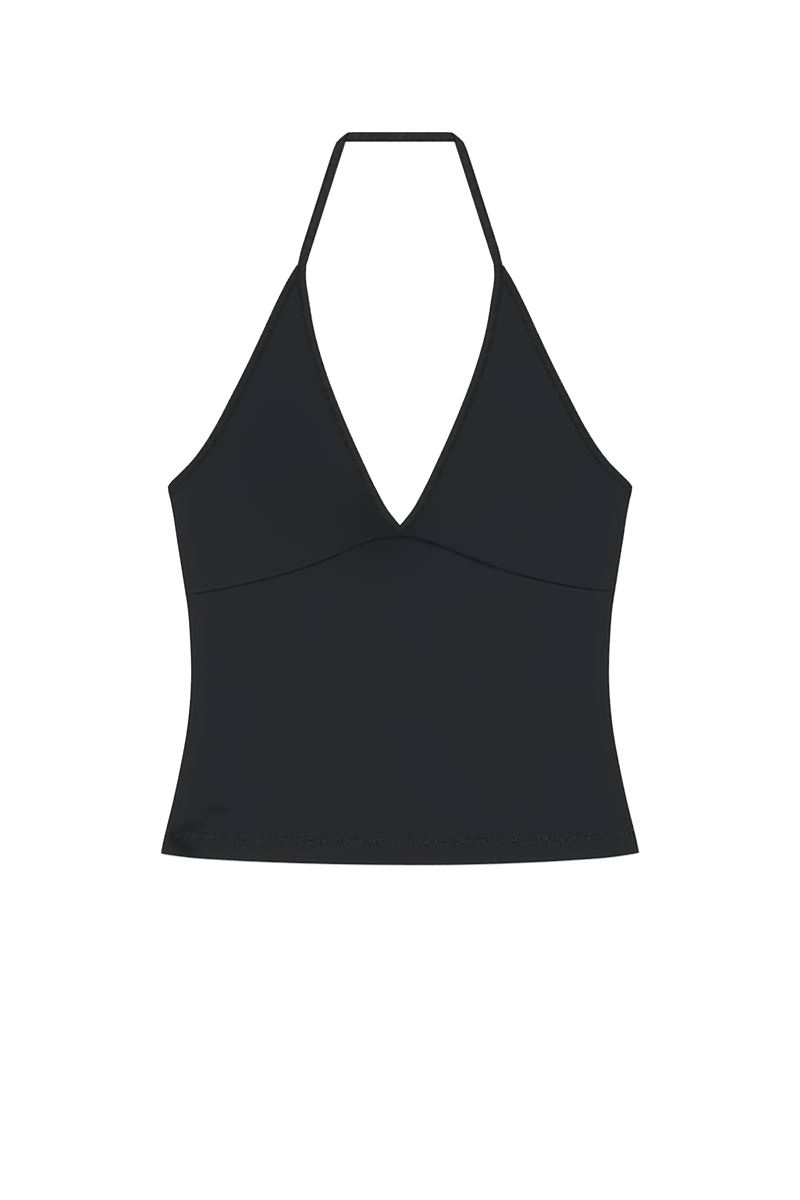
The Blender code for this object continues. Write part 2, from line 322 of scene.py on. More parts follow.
SEAM_UNEVEN = ((0.19, 0.7, 0.10), (0.47, 4.0, 0.12), (1.1, 1.0, 0.10))  # per millimetre, phase, share
SEAM_HIGHLIGHT = (2.0 * MM, 0.8 * MM, 0.20)  # a painted highlight beside the seam: its distance from the seam, half its width and its strength
HIGHLIGHT_ABOVE = (-30.0 * MM, 10.0 * MM)  # left of these places the painted highlight lies above the seam
HIGHLIGHT_BELOW = (60.0 * MM, 110.0 * MM)  # right of these it lies below
SEAM_PUCKERS = ((0.71, 0.4, 0.6), (0.43, 2.0, 0.45))  # per millimetre, phase, share of the painted highlight
HOLLOW_DEPTH = 0.6 * MM  # the depth at which a hollow's painted shade is at its darkest
# how dark the painted shade in a hollow is
HOLLOW_SHADE = 0.54
# The hem's stitches and puckers are painted: painted shade at the needle holes, painted highlights on the tops
HEM_ROW_REACH = 1.4 * MM  # how far from a hem row the pull of its stitches shows
HEM_ROW_SHADES = (0.4, 0.55)  # how strongly the painted shade and highlight of the lower and the upper row show
HEM_STITCH_GAIN = (1.4, 0.3)  # how a stitch's chance, from 0 to 1, becomes its strength
HEM_STITCH_LEAN = (0.45, 0.5)  # the chance at which a stitch is as dark as the cloth, and the gain from there
HEM_BAND = (0.62, 0.75)  # the middle and half the height of the band that holds both rows, in gauges
HEM_ZIGZAG = (1.6, 0.3)  # its slant, in gauges for each stitch, and its strength
HEM_UNEVEN = (900.0, 5.6)  # the patches' number in a metre, and their strength
HEM_TENSION = (60.0, 0.38, 0.62, 0.25)  # the patches' number, the noise's range, the least tension

# How the cloth's colour changes with its painted shade and painted light, as shares of the colour
DARKEST = (0.0, 0.06, 0.09)  # at a shade of 1
JERSEY_TINTS = ((1.25, 1.12, 1.0), (2.7, 2.5, 2.2))  # in its painted glow, and what a painted highlight comes near at a shade of -1
BINDING_TINTS = ((1.2, 1.2, 1.2), (2.5, 2.5, 2.5))
BINDING_MOTTLE = (1.0, 420.0)  # how uneven a strip's shade is, and the patches' number in a metre
JERSEY_SURFACE = (0.88, 0.12)  # roughness and specular level
BINDING_SURFACE = (0.84, 0.14)
THREAD_SURFACE = (0.55, 0.25)
FLOOR_SURFACE = (0.9, 0.0)
WARM_PATCH = (1.06, 1.01, 0.99, 1.0)
COOL_PATCH = (0.95, 1.0, 1.04, 1.0)
FIBRE_LIGHT = (1.9, 1.9, 1.9, 1.0)
FIBRE_SHARE = 0.22
KNIT_BUMP = (0.35, 0.06 * MM)  # strength and height
THREAD_BUMP = (0.4, 0.03 * MM)
THREAD_TWIST = 0.45 * MM  # the length of one turn of its plies
SHEEN_TINT = (0.62, 0.66, 0.72, 1.0)
SHEEN_ROUGHNESS = 0.45

# The stage
FLOOR_RADIUS = 1.3
FLOOR_SINK = 0.2 * MM
LIGHTS = (
    # name, the property that holds its power, place and width in metres
    ("overhead_light", "overhead", (0.0, 0.1, 3.2), 2.2),
    ("key_light", "key", (-1.7, 1.5, 2.4), 0.9),
)


def smooth_curve(rows):
    """A function through the rows' (at, value) points that has no corner at any of them."""
    at, value = np.array(sorted(rows), float).T * MM
    slope = np.gradient(value, at, edge_order=2)

    def curve(where):
        where = np.clip(where, at[0], at[-1])
        span = np.clip(np.searchsorted(at, where, side="right") - 1, 0, len(at) - 2)
        width = at[span + 1] - at[span]
        share = (where - at[span]) / width
        left = (1 + 2 * share) * value[span] + share * slope[span] * width
        right = (3 - 2 * share) * value[span + 1] - (1 - share) * slope[span + 1] * width
        return (1 - share) ** 2 * left + share**2 * right

    return curve


def steepness(curve, at):
    """How much longer the curve is than its axis there."""
    step = 0.5 * MM
    return np.hypot(1, (curve(at + step) - curve(at - step)) / (2 * step))


def inset(curve, width):
    """The curve moved square to itself, by a width that is negative on its lower side."""
    return lambda at: curve(at) + width * steepness(curve, at)


def smooth_step(value, start, end):
    share = np.clip((value - start) / (end - start), 0.0, 1.0)
    return share * share * (3 - 2 * share)


def rolled(distance, reach):
    """The share of its full height that a rolled edge has at a distance in from the edge."""
    share = np.clip(distance / reach, 0.0, 1.0)
    return np.sqrt(share * (2 - share))


armhole_edge = smooth_curve(ARMHOLE_EDGE)
side_edge = smooth_curve(SIDE_EDGE)
neck_edge = smooth_curve(NECK_EDGE)
underbust_seam = smooth_curve(UNDERBUST_SEAM)
hem_edge = smooth_curve(HEM_EDGE)


def back_edge(x):
    share = np.abs(x) / side_edge(BACK_EDGE_Y)
    return BACK_DIP_Y + (BACK_EDGE_Y - BACK_DIP_Y) * share**BACK_DIP_POWER


def within(edge, x, y):
    """How far a point lies in from an edge x(y) on the outside of the top."""
    return (edge(y) - np.abs(x)) / steepness(edge, y)


def past_neck(x, y):
    """How far a point lies outwards from the neck edge."""
    return (np.abs(x) - neck_edge(y)) / steepness(neck_edge, y)


def above(line, x, y):
    """How far a point lies above a line y(x)."""
    return (y - line(x)) / steepness(line, x)


# --- Sizes and finishes that a user may change ---


class HalterClothSizes(bpy.types.PropertyGroup):
    """Sizes of the panels"""

    wall: FloatProperty(
        name="Jersey", description="Thickness of one layer", default=0.0008, unit="LENGTH", precision=5
    )
    hem_wall: FloatProperty(
        name="Hem", description="Thickness of the turned-up hem", default=0.0014, unit="LENGTH", precision=5
    )
    hem_depth: FloatProperty(
        name="Hem depth", description="Height of the turned-up hem", default=0.017, unit="LENGTH"
    )
    edge_roll: FloatProperty(
        name="Edge roll", description="How far in from the outline the cloth is round", default=0.0011,
        unit="LENGTH",
    )


class HalterStripSizes(bpy.types.PropertyGroup):
    """Sizes of the folded strips and of their sewing"""

    width: FloatProperty(
        name="Width", description="Finished width of a binding", default=0.0075, unit="LENGTH"
    )
    stitch_line: FloatProperty(
        name="Stitch line", description="How far in from the fold the strip is sewn", default=0.006, unit="LENGTH"
    )
    stitch: FloatProperty(
        name="Stitch", description="Length of one stitch on a strip", default=0.00245, unit="LENGTH", precision=5
    )
    hem_stitch: FloatProperty(
        name="Hem stitch", description="Length of one stitch on the hem", default=0.00248, unit="LENGTH",
        precision=5,
    )
    hem_row: FloatProperty(
        name="Hem row", description="Height of the lower row above the hem's edge", default=0.0158, unit="LENGTH"
    )
    hem_gauge: FloatProperty(
        name="Hem gauge", description="Distance between the hem's two rows", default=0.0046, unit="LENGTH"
    )
    thread: FloatProperty(
        name="Thread", description="Thickness of the thread", default=0.00034, unit="LENGTH", precision=5
    )


class HalterFinish(bpy.types.PropertyGroup):
    """Colours and knit of the cloth"""

    jersey: FloatVectorProperty(
        name="Jersey", description="Colour of the panels", default=(0.0094, 0.0106, 0.0131),
        subtype="COLOR", size=3,
    )
    binding: FloatVectorProperty(
        name="Binding", description="Colour of the strips", default=(0.0102, 0.0102, 0.0107),
        subtype="COLOR", size=3,
    )
    thread: FloatVectorProperty(
        name="Thread", description="Colour of the thread", default=(0.0045, 0.0046, 0.0050),
        subtype="COLOR", size=3,
    )
    hem_thread: FloatVectorProperty(
        name="Hem thread", description="Colour of the softer thread of the hem", default=(0.0092, 0.0102, 0.0124),
        subtype="COLOR", size=3,
    )
    wale: FloatProperty(
        name="Wale", description="Width of one column of knit", default=0.00062, unit="LENGTH", precision=5
    )
    course: FloatProperty(
        name="Course", description="Height of one row of knit", default=0.00048, unit="LENGTH", precision=5
    )
    sheen: FloatProperty(
        name="Sheen", description="Strength of the nap's sheen", default=0.04, min=0.0, max=1.0, subtype="FACTOR"
    )


class HalterStage(bpy.types.PropertyGroup):
    """Camera, lights and floor"""

    picture_height: FloatProperty(
        name="Picture height", description="Height of the floor that the camera sees", default=0.984,
        unit="LENGTH",
    )
    picture_centre: FloatProperty(
        name="Picture centre", description="How far up from the origin the camera looks", default=-0.0832,
        unit="LENGTH",
    )
    lens: FloatProperty(name="Lens", description="Focal length in millimetres", default=85.0, min=1.0)
    overhead: FloatProperty(
        name="Overhead light", description="Power of the large light above", default=130.0, unit="POWER"
    )
    key: FloatProperty(
        name="Key light", description="Power of the light at the upper left", default=34.0, unit="POWER"
    )
    fill: FloatProperty(name="Fill", description="Strength of the light from all round", default=0.12, min=0.0)
    floor: FloatVectorProperty(
        name="Floor", description="Colour of the floor", default=(0.9, 0.9, 0.9), subtype="COLOR", size=3
    )


# --- How the layers lie on each other ---


def layer_wall(x, y):
    """The height of the back's upper face."""
    depth = bpy.context.scene.halter_cloth.hem_depth
    turned_up = 1 - smooth_step(y - hem_edge(x), depth, depth + HEM_STEP)
    return LAYER_WALL + (LAYER_HEM_WALL - LAYER_WALL) * turned_up


def panel_wall(x, y):
    """The thickness of a panel's own cloth."""
    cloth = bpy.context.scene.halter_cloth
    turned_up = 1 - smooth_step(y - hem_edge(x), cloth.hem_depth, cloth.hem_depth + HEM_STEP)
    return cloth.wall + (cloth.hem_wall - cloth.wall) * turned_up


def crease_height(x, y, hand=1):
    """How high the front's swells are, or with a hand of -1 how deep its hollows are."""
    height = 0.0
    for centre_x, centre_y, degrees, half_length, half_width, lift in CREASES:
        if lift * hand < 0:
            continue
        turn = math.radians(degrees)
        right, up = x / MM - centre_x, y / MM - centre_y
        along = (right * math.cos(turn) + up * math.sin(turn)) / half_length
        across = (up * math.cos(turn) - right * math.sin(turn)) / half_width
        height = height + abs(lift) * MM * np.exp(-(along**2) - across**2)
    return height


def hollow_depth(x, y):
    return crease_height(x, y, -1) * smooth_step(within(side_edge, x, y), 0, SIDE_SETTLE)


def painted_hollow_and_patch_shade(x, y):
    """How much painted shade the front has: darker in its hollows, and in broad patches."""
    shade = HOLLOW_SHADE * np.clip(hollow_depth(x, np.minimum(y, UNDERARM_Y)) / HOLLOW_DEPTH, 0, 1)
    for centre_x, centre_y, half_length, half_width, strength in PAINTED_SHADE_PATCHES:
        right, up = (x / MM - centre_x) / half_length, (y / MM - centre_y) / half_width
        shade = shade + strength * np.exp(-(right**2) - up**2)
    return shade


def front_rest(x, y):
    """The height of the front's underside: on the back, and past the back's top edge on the surface."""
    side = within(side_edge, x, np.minimum(y, UNDERARM_Y))
    settled = smooth_step(side, 0, SIDE_SETTLE)
    across = np.maximum(0.0, 1 - (x / side_edge(y)) ** 2)
    loft = LOFT * across * smooth_step(y - hem_edge(x), 0, LOFT_FADE)
    on_back = layer_wall(x, y) + LAYER_GAP * settled + loft + crease_height(x, y) * settled
    edge = back_edge(x)
    return on_back * (1 - smooth_step(y, edge, edge + DROP))


def over_flange(x, y):
    """How much the seam's turning lifts what lies above the seam under the bust."""
    height = above(underbust_seam, x, y)
    return (FLANGE_WALL + 2 * SKIM) * (1 - smooth_step(height, FLANGE, FLANGE + FLANGE_FADE))


def seam_fade(x, y):
    return smooth_step(within(side_edge, x, y), *SEAM_FADE)


def bell(value, centre, half_width):
    return np.exp(-(((value - centre) / half_width) ** 2))


def outline_shade(distance):
    """The painted shade of the cloth at a distance in from its outline. Where this is negative it is a painted
    highlight.
    """
    centre, half_width, strength = OUTLINE_LIGHT
    return 1 - smooth_step(distance, *OUTLINE_SHADE) - strength * bell(distance, centre, half_width)


# painted light near an edge: lighter up to the first reach, and none past the second
def painted_edge_light(distance, reach):
    return -GLOW * (1 - smooth_step(distance, *reach))


def past_underarm(y):
    """From 0 at the side seam, where an armhole strip's lip is pressed flat, to 1 past the underarm."""
    return smooth_step(y, *UNDERARM_BLEND)


def seam_shade(distance, x):
    """The painted shade of the groove under the bust at a distance above it, and the painted highlight beside it.
    """
    places, widths, depths = np.array(SEAM_OPENING).T
    width, depth = np.interp(x / MM, places, widths) * MM, np.interp(x / MM, places, depths)
    groove = depth * (1 + waves(x, SEAM_UNEVEN)) * (1 - smooth_step(np.abs(distance), 0, width))
    centre, half_width, strength = SEAM_HIGHLIGHT
    left = 1 - smooth_step(x, *HIGHLIGHT_ABOVE)
    right = smooth_step(x, *HIGHLIGHT_BELOW)
    painted_highlight = left * bell(distance, centre, half_width) + right * bell(distance, -centre, half_width)
    return groove - strength * painted_highlight * (1 + waves(x, SEAM_PUCKERS))


def waves(x, rows):
    return sum(share * np.sin(rate * x / MM + phase) for rate, phase, share in rows)


# --- Meshes ---


def finished_object(name, shape, material):
    """Makes the mesh an object that rides on the top's one body."""
    for face in shape.faces:
        face.smooth = True
    mesh = bpy.data.meshes.new(name)
    shape.to_mesh(mesh)
    shape.free()
    mesh.materials.append(material)
    piece = bpy.data.objects.new(name, mesh)
    bpy.context.scene.collection.objects.link(piece)
    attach(piece, BODY)
    return piece


def point_outwards(shape):
    if shape.calc_volume(signed=True) < 0:
        bmesh.ops.reverse_faces(shape, faces=shape.faces)


def grid_shape(rows, columns):
    """A grid, with each vertex's row and column in a layer, and a layer for its cut."""
    shape = bmesh.new()
    bmesh.ops.create_grid(shape, x_segments=columns - 1, y_segments=rows - 1, size=0.5)
    place = shape.verts.layers.float_vector.new("grid_place")
    for vert in shape.verts:
        column = round((vert.co.x + 0.5) * (columns - 1))
        row = round((vert.co.y + 0.5) * (rows - 1))
        vert[place] = (row, column, 0)
    shape.loops.layers.uv.new("cut")
    return shape


def lay_grid(shape, points, cut, **marks):
    """Moves each vertex to its point, and writes its place on the cut and its marks, which are from -1 to 1."""
    for name in marks:
        shape.verts.layers.float.new(name)
    place = shape.verts.layers.float_vector["grid_place"]
    cut_layer = shape.loops.layers.uv["cut"]
    layers = [(shape.verts.layers.float[name], np.clip(mark, -1, 1)) for name, mark in marks.items()]
    for vert in shape.verts:
        row, column, side = (int(part) for part in vert[place])
        vert.co = points[side][row][column]
        for layer, mark in layers:
            vert[layer] = mark[row][column]
        for loop in vert.link_loops:
            loop[cut_layer].uv = cut[row][column]
    shape.verts.layers.float_vector.remove(place)


def cloth_shell(x, y, low, high, **marks):
    """A closed shell of cloth between the heights low and high, over the places of its flat cut."""
    rows, columns = x.shape
    shape = grid_shape(rows, columns)
    place = shape.verts.layers.float_vector["grid_place"]
    raised = bmesh.ops.extrude_face_region(shape, geom=shape.faces[:])["geom"]
    for vert in (item for item in raised if isinstance(item, bmesh.types.BMVert)):
        vert.co.z = 1.0
        vert[place] = (*vert[place][:2], 1)
    bmesh.ops.recalc_face_normals(shape, faces=shape.faces)
    lay_grid(shape, (stacked(x, y, low), stacked(x, y, high)), np.stack((x, y), axis=-1), **marks)
    point_outwards(shape)
    return shape


def tube_shape(points, cut, **marks):
    """A tube through rings of points, whose two ends are left open to be filled."""
    rows, columns = points.shape[:2]
    shape = grid_shape(rows, columns + 1)

    def wrapped(values):
        return np.concatenate((values, values[:, :1]), axis=1)

    lay_grid(shape, (wrapped(points),), cut, **{name: wrapped(mark) for name, mark in marks.items()})
    bmesh.ops.remove_doubles(shape, verts=shape.verts, dist=1e-7)
    return shape


def close_ends(shape):
    open_edges = [edge for edge in shape.edges if edge.is_boundary]
    bmesh.ops.holes_fill(shape, edges=open_edges, sides=0)
    bmesh.ops.recalc_face_normals(shape, faces=shape.faces)
    point_outwards(shape)


def clustered(count, growth=1.0):
    """Shares from 0 to 1 that lie closer together towards both ends."""
    share = np.linspace(0, 1, count)
    dense = 0.5 - 0.5 * np.cos(np.pi * share)
    return (1 - growth) * share + growth * dense


def meeting(edge, curve):
    """The x at which the edge x(y) meets the curve y(x)."""
    x = 0.0
    for _ in range(14):
        x = edge(curve(x))
    return x


def flat_grid(columns, rows, left, right):
    """The flat places (x, y) of a piece, row by row along its curves y(x), from one edge x(y) to the other."""
    x, y = [], []
    for row in rows:
        start, end = meeting(left, row), meeting(right, row)
        places = start + columns * (end - start)
        x.append(places)
        y.append(row(places))
    return np.array(x), np.array(y)


def between(low, high, share):
    return lambda x: (1 - share) * low(x) + share * high(x)


def moved(curve, by):
    return lambda at: curve(at) + by


def mirrored(edge, hand):
    return lambda y: hand * edge(y)


def stacked(x, y, z):
    return np.stack((x, y, np.broadcast_to(z, x.shape)), axis=-1)


# --- Panels ---


def hem_channels(height):
    """How deep the hem's two rows of stitches pull the cloth in."""
    sewing = bpy.context.scene.halter_strips
    rows = (sewing.hem_row, sewing.hem_row + sewing.hem_gauge)
    return sum(CHANNEL_DEPTH * 0.8 * np.exp(-(((height - row) / CHANNEL_REACH) ** 2)) for row in rows)


def hem_heights(reach):
    """Heights above the hem's edge that lie close together at its fold and its rows of stitches."""
    sewing = bpy.context.scene.halter_strips
    fold = np.array((0.0, 0.05, 0.15, 0.3, 0.5, 0.8, 1.2, 2.0)) * MM
    beside_row = np.array((-0.9, -0.5, -0.25, 0.0, 0.25, 0.5, 0.9)) * MM
    rows = np.concatenate([row + beside_row for row in (sewing.hem_row, sewing.hem_row + sewing.hem_gauge)])
    plain = np.arange(3.5 * MM, reach, 2.2 * MM)
    near_rows = np.abs(plain[:, None] - rows[None, :]).min(axis=1) < 0.5 * MM
    return np.unique(np.concatenate((fold, rows, plain[~near_rows])))


def panel_rows(top, top_rolls):
    """The rows of a panel, from the hem's edge up to its top curve."""
    heights = hem_heights(HEM_ROWS_REACH)
    start = moved(hem_edge, float(heights[-1]))
    rows = [moved(hem_edge, float(height)) for height in heights[:-1]]
    rows += [between(start, top, share) for share in np.linspace(0, 1, PANEL_ROWS)]
    rows += [moved(top, float(roll)) for roll in top_rolls]
    return rows


def panel_shade(side, hem):
    """The painted shade and painted light of a panel at these distances in from its side seam and up from its
    hem.
    """
    return outline_shade(side) + outline_shade(hem) + painted_edge_light(side, SIDE_GLOW) + painted_edge_light(hem, HEM_GLOW)


def front_body_shape():
    cloth = bpy.context.scene.halter_cloth
    below = np.array((-4.0, -3.0, -2.3, -1.7, -1.3, -0.9, -0.6, -0.35, -0.18, -0.06, 0.0)) * MM
    flange = np.array((0.1, 0.6, 1.4, 2.2, 2.6)) * MM
    rows = panel_rows(moved(underbust_seam, -5.2 * MM), 5.2 * MM + np.concatenate((below, flange)))
    x, y = flat_grid(clustered(*FRONT_COLUMNS), rows, mirrored(side_edge, -1), side_edge)
    side = within(side_edge, x, y)
    hem = above(hem_edge, x, y)
    up_to_seam = -above(underbust_seam, x, y)
    fade = seam_fade(x, y)
    wall = panel_wall(x, y) - hem_channels(hem)
    rest = front_rest(x, y) + SKIM
    seam_roll = 1 - fade * (1 - rolled(up_to_seam, SEAM_ROLL))
    below_seam = FLANGE_WALL + (wall - FLANGE_WALL) * seam_roll
    wall = np.where(up_to_seam > 0, below_seam, FLANGE_WALL)
    wall = wall * np.maximum(rolled(side, cloth.edge_roll * 1.2), SIDE_SHARE)
    hem_roll = rolled(hem, cloth.edge_roll)
    high = rest + np.maximum(wall * (0.5 + 0.5 * hem_roll) - hollow_depth(x, y), THINNEST)
    low = rest + wall * (0.5 - 0.5 * hem_roll) * 0.9
    shade = panel_shade(side, hem) + seam_shade(-up_to_seam, x) * fade + painted_hollow_and_patch_shade(x, y)
    return cloth_shell(x, y, low, high, fold_shade=shade, hem_height=hem), x, y


def cup_edges():
    """A cup's two long edges, which lie inside the strips."""
    inner = inset(neck_edge, EDGE_IN_SLOT)
    armhole = inset(armhole_edge, -EDGE_IN_SLOT)

    def neck_side(y):
        return np.maximum(inner(y), SKIM)

    def armhole_side(y):
        return np.where(y < UNDERARM_Y, np.minimum(armhole(y), side_edge(y)), armhole(y))

    return neck_side, armhole_side


def cup_shape(hand):
    cloth = bpy.context.scene.halter_cloth
    strips = bpy.context.scene.halter_strips
    neck_side, armhole_side = cup_edges()
    rolls = np.array((0.0, 0.05, 0.15, 0.3, 0.5, 0.75, 1.05, 1.5, 2.2, 3.0, 4.0, 5.2)) * MM
    start = moved(underbust_seam, float(rolls[-1]))
    rows = [moved(underbust_seam, float(roll)) for roll in rolls[:-1]]
    rows += [between(start, lambda x: CUP_TIP_Y + 0 * x, share) for share in np.linspace(0, 1, CUP_ROWS)]
    x, y = flat_grid(clustered(*CUP_COLUMNS), rows, mirrored(neck_side, hand), mirrored(armhole_side, hand))
    side_y = np.minimum(y, UNDERARM_Y)
    seam = above(underbust_seam, x, y)
    neck, armhole = past_neck(x, y), within(armhole_edge, x, y)
    side = np.where(y < UNDERARM_Y, within(side_edge, x, side_y), 1.0)
    in_neck = 1 - smooth_step(neck, strips.width, strips.width + LIP_FADE)
    in_armhole = 1 - smooth_step(armhole, strips.width, strips.width + LIP_FADE)
    lips = (LOWER_LIP + 2 * SKIM) * (in_neck + in_armhole)
    rest = front_rest(x, y) + SKIM + lips * smooth_step(side, 0, SIDE_SETTLE) + over_flange(x, y)
    wall = cloth.wall - (cloth.wall - CLOTH_IN_SLOT) * np.maximum(in_neck, in_armhole)
    fade = seam_fade(x, side_y)
    seam_roll = 1 - fade * (1 - rolled(seam, CUP_ROLL))
    high = rest + wall * np.maximum(seam_roll * rolled(side, cloth.edge_roll * 1.2), SIDE_SHARE)
    shade = outline_shade(side) + seam_shade(seam, x) * fade + painted_hollow_and_patch_shade(x, y)
    shade += painted_edge_light(within(side_edge, x, side_y), SIDE_GLOW) * (1 - past_underarm(y))
    return cloth_shell(x, y, rest, high, fold_shade=shade), x, y


def back_panel_shape():
    cloth = bpy.context.scene.halter_cloth
    strips = bpy.context.scene.halter_strips
    top = inset(back_edge, -EDGE_IN_SLOT)
    below = np.array((-9.0, -7.5, -6.4, -5.8, -5.3, -4.6, -3.6, -2.4, -1.2, -0.4, 0.0)) * MM
    rows = panel_rows(moved(top, -10.5 * MM), 10.5 * MM + below)
    x, y = flat_grid(clustered(*BACK_COLUMNS), rows, mirrored(side_edge, -1), side_edge)
    side = within(side_edge, x, y)
    hem = above(hem_edge, x, y)
    in_strip = 1 - smooth_step(-above(back_edge, x, y), strips.width, strips.width + LIP_FADE)
    low = BACK_LOWER_LIP * in_strip + hem_channels(hem) * 0.7
    own_wall = panel_wall(x, y)
    wall = own_wall + (layer_wall(x, y) - SKIM - own_wall) * (1 - smooth_step(side, 2 * MM, 8 * MM))
    high = np.where(in_strip > 0, wall + (BACK_LOWER_LIP + BACK_CLOTH_IN_SLOT - wall) * in_strip, wall)
    middle = 0.5 * (low + high)
    hem_roll = rolled(hem, cloth.edge_roll)
    high = middle + (high - middle) * hem_roll
    low = middle + (low - middle) * hem_roll
    low = high - (high - low) * np.maximum(rolled(side, cloth.edge_roll), SIDE_SHARE)
    high = np.maximum(high, low + 0.06 * MM)
    return cloth_shell(x, y, low, high, fold_shade=panel_shade(side, hem), hem_height=hem), x, y


# --- Folded strips ---


class StripProfile:
    """The cross-section of a folded strip: where its points lie, and how much painted shade and light they have.
    """

    ARC_STEPS = 9
    # how far in from the fold, as a share of the way to the stitch line, and of the way on to the lip's end
    FACE = ((0.32, 0), (0.5, 0), (0.7, 0), (0.85, 0), (0.93, 0), (0.965, 0), (1.0, 0), (1.0, 0.14), (1.0, 0.3),
            (1.0, 0.55), (1.0, 0.82), (1.0, 0.94))

    def __init__(self, fold_depth=FOLD_DEPTH):
        angles = np.linspace(-np.pi / 2, np.pi / 2, self.ARC_STEPS)
        self.fold_in = fold_depth * (1 - np.cos(angles))
        self.fold_up = 0.5 + 0.5 * np.sin(angles)
        self.face = np.array(self.FACE)

    def face_in(self, stitch_line, width):
        to_line, past_line = self.face.T
        return stitch_line * to_line + (width - stitch_line) * past_line

    def ring(self, lower, slot, upper, stitch_line, width, depth, crown=CROWN):
        """How far in and up one station's points are. The strip is lower + slot + upper thick."""
        thick = lower + slot + upper
        face = self.face_in(stitch_line, width)
        pull = depth * np.exp(-(((face - stitch_line) / CHANNEL_REACH) ** 2))
        swell = crown * np.sin(np.pi * np.clip(face / stitch_line, 0, 1))
        sag = LIP_SAG * upper * smooth_step(face, stitch_line, width)
        top = thick + swell - pull - sag
        end_in = np.array((width, width - LIP_TURN))
        end_up = np.array((top[-1] - 0.45 * upper, top[-1] - 0.85 * upper))
        ceiling_in = np.array((stitch_line, 0.5 * stitch_line, SLOT_START + SLOT_TURN))
        ceiling_up = lower + slot + np.array((-0.3 * depth, 0.0, 0.0))
        back_in, back_up = np.array((SLOT_START,)), np.array((lower + 0.5 * slot,))
        floor_in = np.array((SLOT_START + SLOT_TURN, 0.5 * stitch_line, stitch_line))
        floor_up = np.full(3, lower)
        lip_in = np.array((width - LIP_TURN, width))
        lip_up = np.array((0.9 * lower, 0.45 * lower))
        under = face[::-1][1::2]
        under_up = 0.35 * depth * np.exp(-(((under - stitch_line) / CHANNEL_REACH) ** 2))
        inward = np.concatenate((self.fold_in, face, end_in, ceiling_in, back_in, floor_in, lip_in, under))
        fold_up = self.fold_up * thick
        upward = np.concatenate((fold_up, top, end_up, ceiling_up, back_up, floor_up, lip_up, under_up))
        return inward, upward

    def shade(self, inward, stitch_line, width, stitch, free=0.0, pressed=0.0):
        """The painted shade and painted light of each point of the ring, at a place along the sewing in stitches.

        Neither a free stretch, such as the strap, nor a pressed one shows its sewing or its lip. A free one
        has an outline on both sides.
        """
        random = np.random.default_rng(int(stitch) + 7)
        dark, light = random.uniform(0.15, 1.2), random.uniform(0.0, 1.1)
        dash = 1 - max(0.0, math.cos(2 * math.pi * stitch))
        # painted shade at each stitch, and a painted highlight in the gap between stitches
        sewn = STITCH_DARK * dark * dash * bell(inward, stitch_line + 0.1 * MM, STITCH_REACH)
        sewn -= GAP_LIGHT * light * (1 - dash) * bell(inward, stitch_line - 0.2 * MM, 1.2 * STITCH_REACH)
        sewn *= 1 - pressed**3
        at_stitch, between_stitches = LIP_SHADE[1] * dark * (1 - dash), LIP_SHADE[0]
        lip = (between_stitches + at_stitch) * smooth_step(inward, width - 0.7 * MM, width)
        lip += PAST_LINE_SHADE * smooth_step(inward, stitch_line + 0.2 * MM, stitch_line + 0.7 * MM)
        lip += FLAT_SHADE * smooth_step(inward, *FLAT_START)
        far_edge = outline_shade(width - inward)
        bound = sewn + (1 - pressed) * lip
        return outline_shade(inward) + (1 - free) * bound + free * (far_edge - STRAP_LIGHT)

    def past_line(self, inward, stitch_line):
        """The share of the panels' tone that each point has: all of it on the lip beyond the sewing."""
        return smooth_step(inward, stitch_line - 0.2 * MM, stitch_line + 0.8 * MM)


class StripRun:
    """A strip's rings and its two stitch lines, gathered from station to station as it is sewn."""

    def __init__(self, stitch):
        self.stitch = stitch
        self.sewn = 0.0
        self.rings, self.shades, self.tones = [], [], []
        self.points = {"upper": [], "lower": [], "sewn": []}

    def pull(self):
        """How deep the sewing draws the strip in where the run has come to."""
        return CHANNEL_DEPTH * (1 - PUCKER * math.sin(math.pi * ((self.sewn / self.stitch) % 1.0)))

    def sew_to(self, upper, lower):
        """Sews on to a point on each face, and says how many stitches there are by then."""
        if self.points["upper"]:
            self.sewn += float(np.linalg.norm(upper - self.points["upper"][-1]))
        for name, value in (("upper", upper), ("lower", lower), ("sewn", self.sewn)):
            self.points[name].append(value)
        return self.sewn / self.stitch

    def add(self, ring, shade, tone):
        self.rings.append(ring)
        self.shades.append(shade)
        self.tones.append(tone)

    def shape(self):
        """The strip as a tube, whose two ends are open."""
        rings = np.array(self.rings)
        marks = {"fold_shade": np.array(self.shades), "panel_tone": np.array(self.tones)}
        return tube_shape(rings, strip_cut(rings), **marks)

    def lines(self):
        return {name: np.array(values) for name, values in self.points.items()}


def upright(x, y, high, low):
    """The points of the upper and of the lower face at one place."""
    return np.array(((x, y, high), (x, y, low)))


